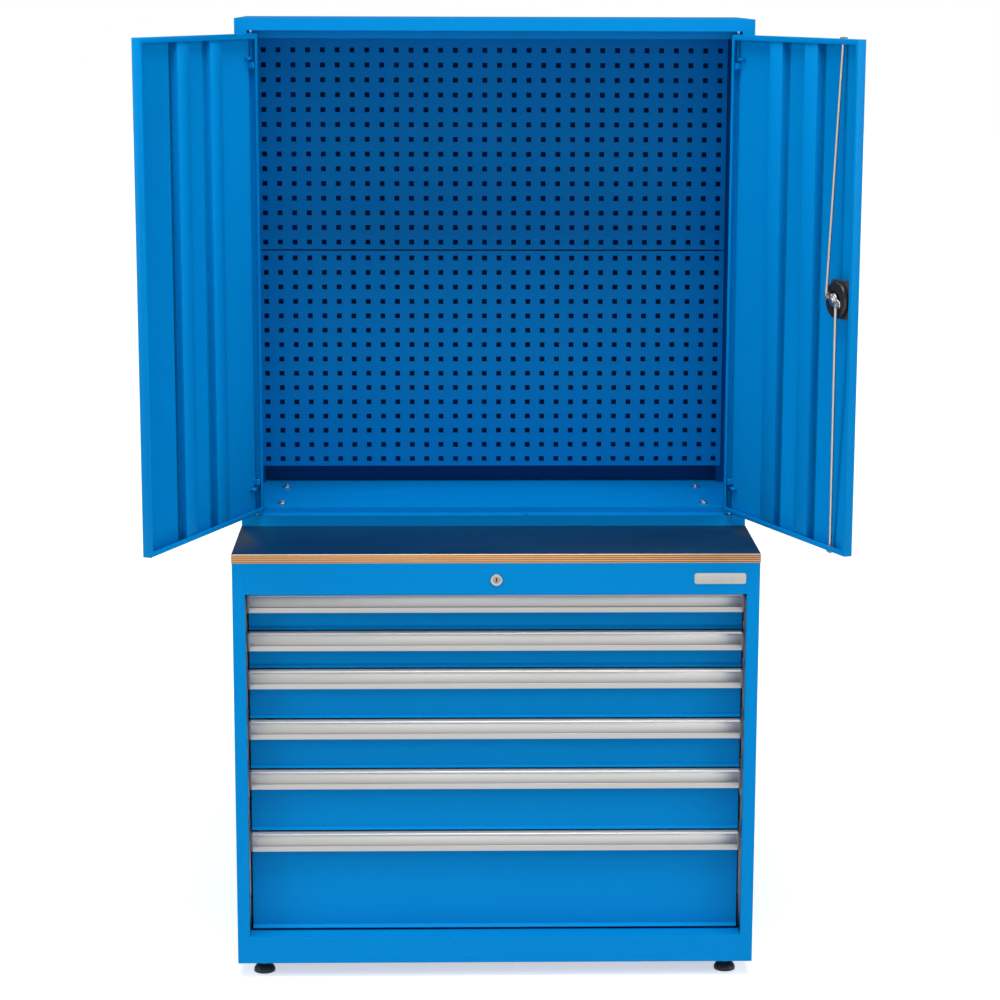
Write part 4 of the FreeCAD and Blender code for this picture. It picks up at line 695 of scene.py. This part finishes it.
pin_radius = 0.003
pin_length = 0.066
tip_length = 0.011
grip_height = 0.047
grip_reach = 0.022
grip_length = 0.0105
hold_sides = (-0.0038, 0.0092)
hold_depth = 0.013
hold_height = 0.012
for side, word in ((-1, "left"), (1, "right")):
    shapes = []
    tips = []
    for edge, inward in ((pan_low_z, 1), (pan_high_z, -1)):
        inner = edge + inward * pin_length
        knob = edge + inward * grip_height
        tip = start("cylinder", "tip", vertices=24, radius=pin_radius, depth=tip_length,
                    location=on_door(side, 0, pin_depth, edge - inward * tip_length / 2))
        settle(tip, 0.0006, 2)
        tips.append(tip)
        pin = start("cylinder", "pin", vertices=24, radius=pin_radius, depth=pin_length,
                    location=on_door(side, 0, pin_depth, edge + inward * pin_length / 2))
        settle(pin, 0.0004, 2)
        bent = start("cylinder", "bent", vertices=24, radius=pin_radius, depth=grip_reach,
                     location=on_door(side, grip_reach / 2, pin_depth, knob),
                     rotation=(0, math.radians(90), 0))
        settle(bent, 0, 0)
        grip = start("cylinder", "grip", vertices=24, radius=pin_radius, depth=grip_length,
                     location=on_door(side, grip_reach, pin_depth - pin_radius + grip_length / 2, knob),
                     rotation=facing_front)
        settle(grip, 0.0009, 3)
        bend = start("uv_sphere", "bend", segments=24, ring_count=12, radius=pin_radius,
                     location=on_door(side, grip_reach, pin_depth, knob))
        settle(bend, 0, 0)
        hold = door_block("hold", side, (hold_sides[0], sheet, inner - inward * hold_height),
                          (hold_sides[1], hold_depth, inner))
        settle(hold, 0.0007, 2)
        shapes += [pin, bent, grip, bend, hold]
    hinge = joined(shapes, word + "_hinge_pins")
    swing(hinge, side)
    belong(hinge, word + "_door", [word + "_hinge_bolts"], light_blue_coat)
    ends = joined(tips, word + "_hinge_pin_tips")
    swing(ends, side)
    belong(ends, word + "_door", [], bright_zinc)

# Rod lock inside the right door: a black moulded case screwed to the skin, with a round drum on it, ribbed on
# the face round a sunk middle. The plastic is a little greyer on the flat case than in the ribs.

lock_along = 0.421
lock_height = 1.342
black_abs = moulded_plastic("black_abs_housing", "#19191C", "#26262A", 0.34, 800.0)
case_abs = moulded_plastic("black_abs_flat_case", "#39373D", "#45434A", 0.4, 800.0)
case_height = 0.0123
case_half_width = 0.033
case_half_length = 0.035
case_corner = 0.007
case_rim = 0.0025
case_sink = 0.0008
drum_radius = 0.033
drum_height = 0.0108
drum_face = sheet + case_height + drum_height
ring_width = 0.0155
ring_height = 0.0045
rib_proud = 0.001
case = door_block("housing_base", 1, (lock_along - case_half_width, sheet, lock_height - case_half_length),
                  (lock_along + case_half_width, sheet + case_height, lock_height + case_half_length))
pick(case, "edges", lambda middle, along: abs(along.y) > 0.9)
bpy.ops.mesh.bevel(offset=case_corner, segments=6)
pick(case, "faces", lambda middle, normal: normal.y > 0.9)
bpy.ops.mesh.inset(thickness=case_rim)
bpy.ops.transform.translate(value=(0, -case_sink, 0))
settle(case, 0.0005, 2)
drum = start("cylinder", "housing_drum", vertices=72, radius=drum_radius, depth=drum_height,
             location=on_door(1, lock_along, drum_face - rib_proud - drum_height / 2, lock_height),
             rotation=facing_front)
bpy.ops.object.transform_apply(location=True, rotation=True, scale=True)
pick(drum, "faces", lambda middle, normal: normal.y > 0.9)
# the middle is sunk, and a low boss stands in it
for inset, rise in ((ring_width, -ring_height), (0.0012, 0.001)):
    bpy.ops.mesh.inset(thickness=inset)
    bpy.ops.transform.translate(value=(0, rise, 0))
settle(drum, 0.0006, 2)
swing(case, 1)
case.name = "rod_lock_case"
belong(case, "right_door", ["door_lock_housing"], case_abs)
drum_shapes = [drum]
# upright ribs across the ring
rib_pitch = 0.0036
rib_half_width = 0.0008
rib_depth = 0.0016
rib_outer_reach = 0.0318
rib_inner_reach = 0.0182
for step in range(-8, 9):
    aside = step * rib_pitch
    outer = math.sqrt(rib_outer_reach ** 2 - aside ** 2)
    inner = math.sqrt(max(rib_inner_reach ** 2 - aside ** 2, 0))
    for low, high in ([(-outer, outer)] if inner == 0 else [(-outer, -inner), (inner, outer)]):
        rib = door_block("housing_rib", 1,
                         (lock_along + aside - rib_half_width, drum_face - rib_depth, lock_height + low),
                         (lock_along + aside + rib_half_width, drum_face, lock_height + high))
        settle(rib, 0.0003, 2)
        drum_shapes.append(rib)
ribbed_drum = joined(drum_shapes, "rod_lock_drum")
swing(ribbed_drum, 1)
belong(ribbed_drum, "right_door", [], black_abs)

# Cam of the rod lock: a zinc casting with a hub, two arms and a pin at each end, held by a hexagon screw.
# Tumbled bright, with soft edges that catch the light.

cast_cam = plated_steel("zinc_casting_tumbled", "#D0D0D0", "#DEDEDC", 0.22, 0.38, (500, 500, 500))
cam_back = drum_face + 0.0003
arm = 0.0182
arm_turn = math.radians(21)
arm_width = 0.014
arm_thickness = 0.003
disc_radius = 0.0125
disc_thickness = 0.0034
hub_radius = 0.0085
hub_height = 0.0042
screw_radius = 0.0058
screw_height = 0.006
cam_pin_radius = 0.0025
cam_pin_height = 0.009


def on_cam(reach, depth):
    """A point of the cam: distance from the spindle along the arms, and depth from the door's outer face."""
    return on_door(1, lock_along - reach * math.cos(arm_turn), depth, lock_height + reach * math.sin(arm_turn))


def cam_round(name, reach, radius, low, high, sides):
    """A round or hexagonal boss of the cam between two depths."""
    boss = start("cylinder", name, vertices=sides, radius=radius, depth=high - low,
                 location=on_cam(reach, (low + high) / 2), rotation=facing_front)
    settle(boss, 0.0004, 2)
    return boss


arms = start("cube", "cam_arms", size=1, location=on_cam(0, cam_back + arm_thickness / 2),
             rotation=(0, -arm_turn, 0))
arms.scale = (2 * arm, arm_thickness, arm_width)
settle(arms, 0.0006, 2)
cam_shapes = [arms, cam_round("cam_disc", 0, disc_radius, cam_back, cam_back + disc_thickness, 40),
              cam_round("cam_hub", 0, hub_radius, cam_back, cam_back + hub_height, 40),
              cam_round("cam_screw", 0, screw_radius, cam_back + hub_height, cam_back + screw_height, 6)]
for reach in (-arm, arm):
    cam_shapes.append(cam_round("cam_end", reach, arm_width / 2, cam_back, cam_back + arm_thickness, 32))
    cam_shapes.append(cam_round("cam_pin", reach, cam_pin_radius, cam_back + arm_thickness,
                                cam_back + cam_pin_height, 24))
cam = joined(cam_shapes, "rod_lock_cam")
swing(cam, 1)
belong(cam, "door_lock", ["lock_cam"], cast_cam)

# Locking rods: 6 mm drawn steel, zinc plated and passivated, warm grey with fine lines along their length.
# They hang on the cam's pins and run through the door's guides into the roof and the sill.

drawn_rod = plated_steel("zinc_plated_drawn_rod", "#AAA49D", "#B9B3AB", 0.34, 0.48, (400, 400, 6))
dress("upper_rod", drawn_rod)
dress("lower_rod", drawn_rod)

# Rod guides: grey nylon bushings set in the lower and upper wall of the right door, oblong inside for the
# rod's swing.

grey_nylon = moulded_plastic("grey_nylon_fine_grain", "#75747D", "#84838C", 0.46, 900.0)
guide_proud = 0.003
guide_inside = 0.010
guide_gap = 0.0001
guide_corner = 0.003
guide_wall = 0.0009
guides = []
for low, high in ((pan_low_z - guide_proud, pan_low_z + guide_inside),
                  (pan_high_z - guide_inside, pan_high_z + guide_proud)):
    bushing = door_block("guide_bushing", 1,
                         (rod_along - way_half_width + guide_gap, way_front + guide_gap, low),
                         (rod_along + way_half_width - guide_gap, way_back - guide_gap, high))
    pick(bushing, "edges", lambda middle, along: abs(along.z) > 0.9)
    bpy.ops.mesh.bevel(offset=guide_corner, segments=5)
    pick(bushing, "faces", lambda middle, normal: abs(normal.z) > 0.9)
    bpy.ops.mesh.inset(thickness=guide_wall)
    bpy.ops.mesh.bridge_edge_loops()
    settle(bushing, 0.0002, 2)
    guides.append(bushing)
bushings = joined(guides, "rod_guide_bushings")
swing(bushings, 1)
belong(bushings, "right_door", ["rod_guides"], grey_nylon)

# Outer handle and its key plug: a low wing of moulded black plastic on a spindle through the right door,
# with a plug of die-cast zinc in it.

dress("door_handle", black_abs)
dress("door_key_plug", die_cast_zinc)

# Three small rivets in the step of the sill, near the middle of the opening.
# Bright zinc, with low domed heads about 5 mm wide.

rivet_radius = 0.0026
rivet_height = 0.8702
rivet_places = (0.0146, 0.0265, 0.0393)
sill_step = door_face + 0.031
rivets = []
for x in rivet_places:
    rivet = start("uv_sphere", "rivet", segments=20, ring_count=10, radius=rivet_radius,
                  location=(x, sill_step, rivet_height))
    rivet.scale = (1, 0.4, 1)
    settle(rivet, 0, 0)
    rivets.append(rivet)
belong(joined(rivets, "sill_rivets"), "cabinet", [], bright_zinc)

# Studio: a pale floor that runs to the horizon, large softboxes at the sides and overhead,
# and a weak one in front that lifts the drawer fronts.

floor = start("plane", "studio_floor", size=60, location=(0, 0, 0))
paper, tree = new_material("studio_paper_white")
place = add_node(tree, "ShaderNodeTexCoord", {}, {})
tooth = add_node(tree, "ShaderNodeTexNoise", {"Scale": 400.0}, {"Vector": (place, "Object")})
relief = add_node(tree, "ShaderNodeBump", {"Strength": 0.03, "Distance": 0.0005}, {"Height": (tooth, "Fac")})
surface = add_node(tree, "ShaderNodeBsdfDiffuse", {"Color": linear("#F4F6F8")}, {"Normal": (relief, "Normal")})
# the paper is lit less far away, so its glow grows with the distance from the cabinet
away = add_node(tree, "ShaderNodeVectorMath", {"operation": "LENGTH"}, {0: (place, "Object")})
level = add_node(tree, "ShaderNodeMapRange", {"From Min": 1.2, "From Max": 7.0, "To Min": 0.55, "To Max": 1.0},
                 {"Value": (away, "Value")})
glow = add_node(tree, "ShaderNodeEmission", {"Color": (1, 1, 1, 1)}, {"Strength": (level, "Result")})
both = add_node(tree, "ShaderNodeAddShader", {}, {0: (surface, "BSDF"), 1: (glow, "Emission")})
ray = add_node(tree, "ShaderNodeLightPath", {}, {})
seen = add_node(tree, "ShaderNodeMath", {"operation": "MAXIMUM"},
                {0: (ray, "Is Camera Ray"), 1: (ray, "Is Glossy Ray")})
mixed = add_node(tree, "ShaderNodeMixShader", {},
                 {0: (seen, "Value"), 1: (surface, "BSDF"), 2: (both, "Shader")})
add_node(tree, "ShaderNodeOutputMaterial", {}, {"Surface": (mixed, "Shader")})
floor.data.materials.append(paper)

world = bpy.data.worlds.new("studio_air")
bpy.context.scene.world = world
world.use_nodes = True
tree = world.node_tree
tree.nodes.clear()
ray = add_node(tree, "ShaderNodeLightPath", {}, {})
air = add_node(tree, "ShaderNodeBackground", {"Color": linear("#F2F5FA"), "Strength": 0.17}, {})
white = add_node(tree, "ShaderNodeBackground", {"Color": (1, 1, 1, 1), "Strength": 1.0}, {})
mixed = add_node(tree, "ShaderNodeMixShader", {},
                 {0: (ray, "Is Camera Ray"), 1: (air, "Background"), 2: (white, "Background")})
add_node(tree, "ShaderNodeOutputWorld", {}, {"Surface": (mixed, "Shader")})


def softbox(name, place, aim, width, height, power):
    """A rectangular lamp at a place, turned to a point."""
    bpy.ops.object.light_add(type="AREA", location=place)
    lamp = bpy.context.active_object
    lamp.name = name
    lamp.data.shape = "RECTANGLE"
    lamp.data.size = width
    lamp.data.size_y = height
    lamp.data.energy = power
    lamp.rotation_euler = (Vector(aim) - Vector(place)).to_track_quat("-Z", "Y").to_euler()


softbox("softbox_left", (-4.4, -2.2, 2.6), (0, 0, 1.1), 2.0, 2.4, 97)
softbox("softbox_right", (4.4, -2.2, 2.6), (0, 0, 1.1), 2.0, 2.4, 97)
softbox("softbox_top", (0, -1.5, 5.2), (0, 0, 0.9), 3.4, 1.6, 184)
softbox("softbox_front", (0.2, -5.6, 1.6), (0, 0, 1.2), 2.8, 1.4, 30)

# Camera: a long lens about five metres in front of the doors, a little above the cabinet and looking down.
# Its place is in metres and its turns are in radians.

bpy.ops.object.camera_add()
camera = bpy.context.active_object
camera.data.sensor_width = 36.0
camera.data.lens = 95.73
camera.data.clip_end = 200
pitch, yaw, roll = 0.1915, 0.0219, 0.003
ahead = Vector((math.sin(yaw) * math.cos(pitch), math.cos(yaw) * math.cos(pitch), -math.sin(pitch)))
sideways = Vector((math.cos(yaw), -math.sin(yaw), 0))
upward = sideways.cross(ahead)
across = math.cos(roll) * sideways + math.sin(roll) * upward
upright = -math.sin(roll) * sideways + math.cos(roll) * upward
turn = Matrix((across, upright, -ahead)).transposed().to_4x4()
camera_place = (-0.10148, door_face - 5.17703, 1.90154)
camera.matrix_world = Matrix.Translation(camera_place) @ turn
bpy.context.scene.camera = camera
bpy.context.scene.view_settings.view_transform = "Standard"
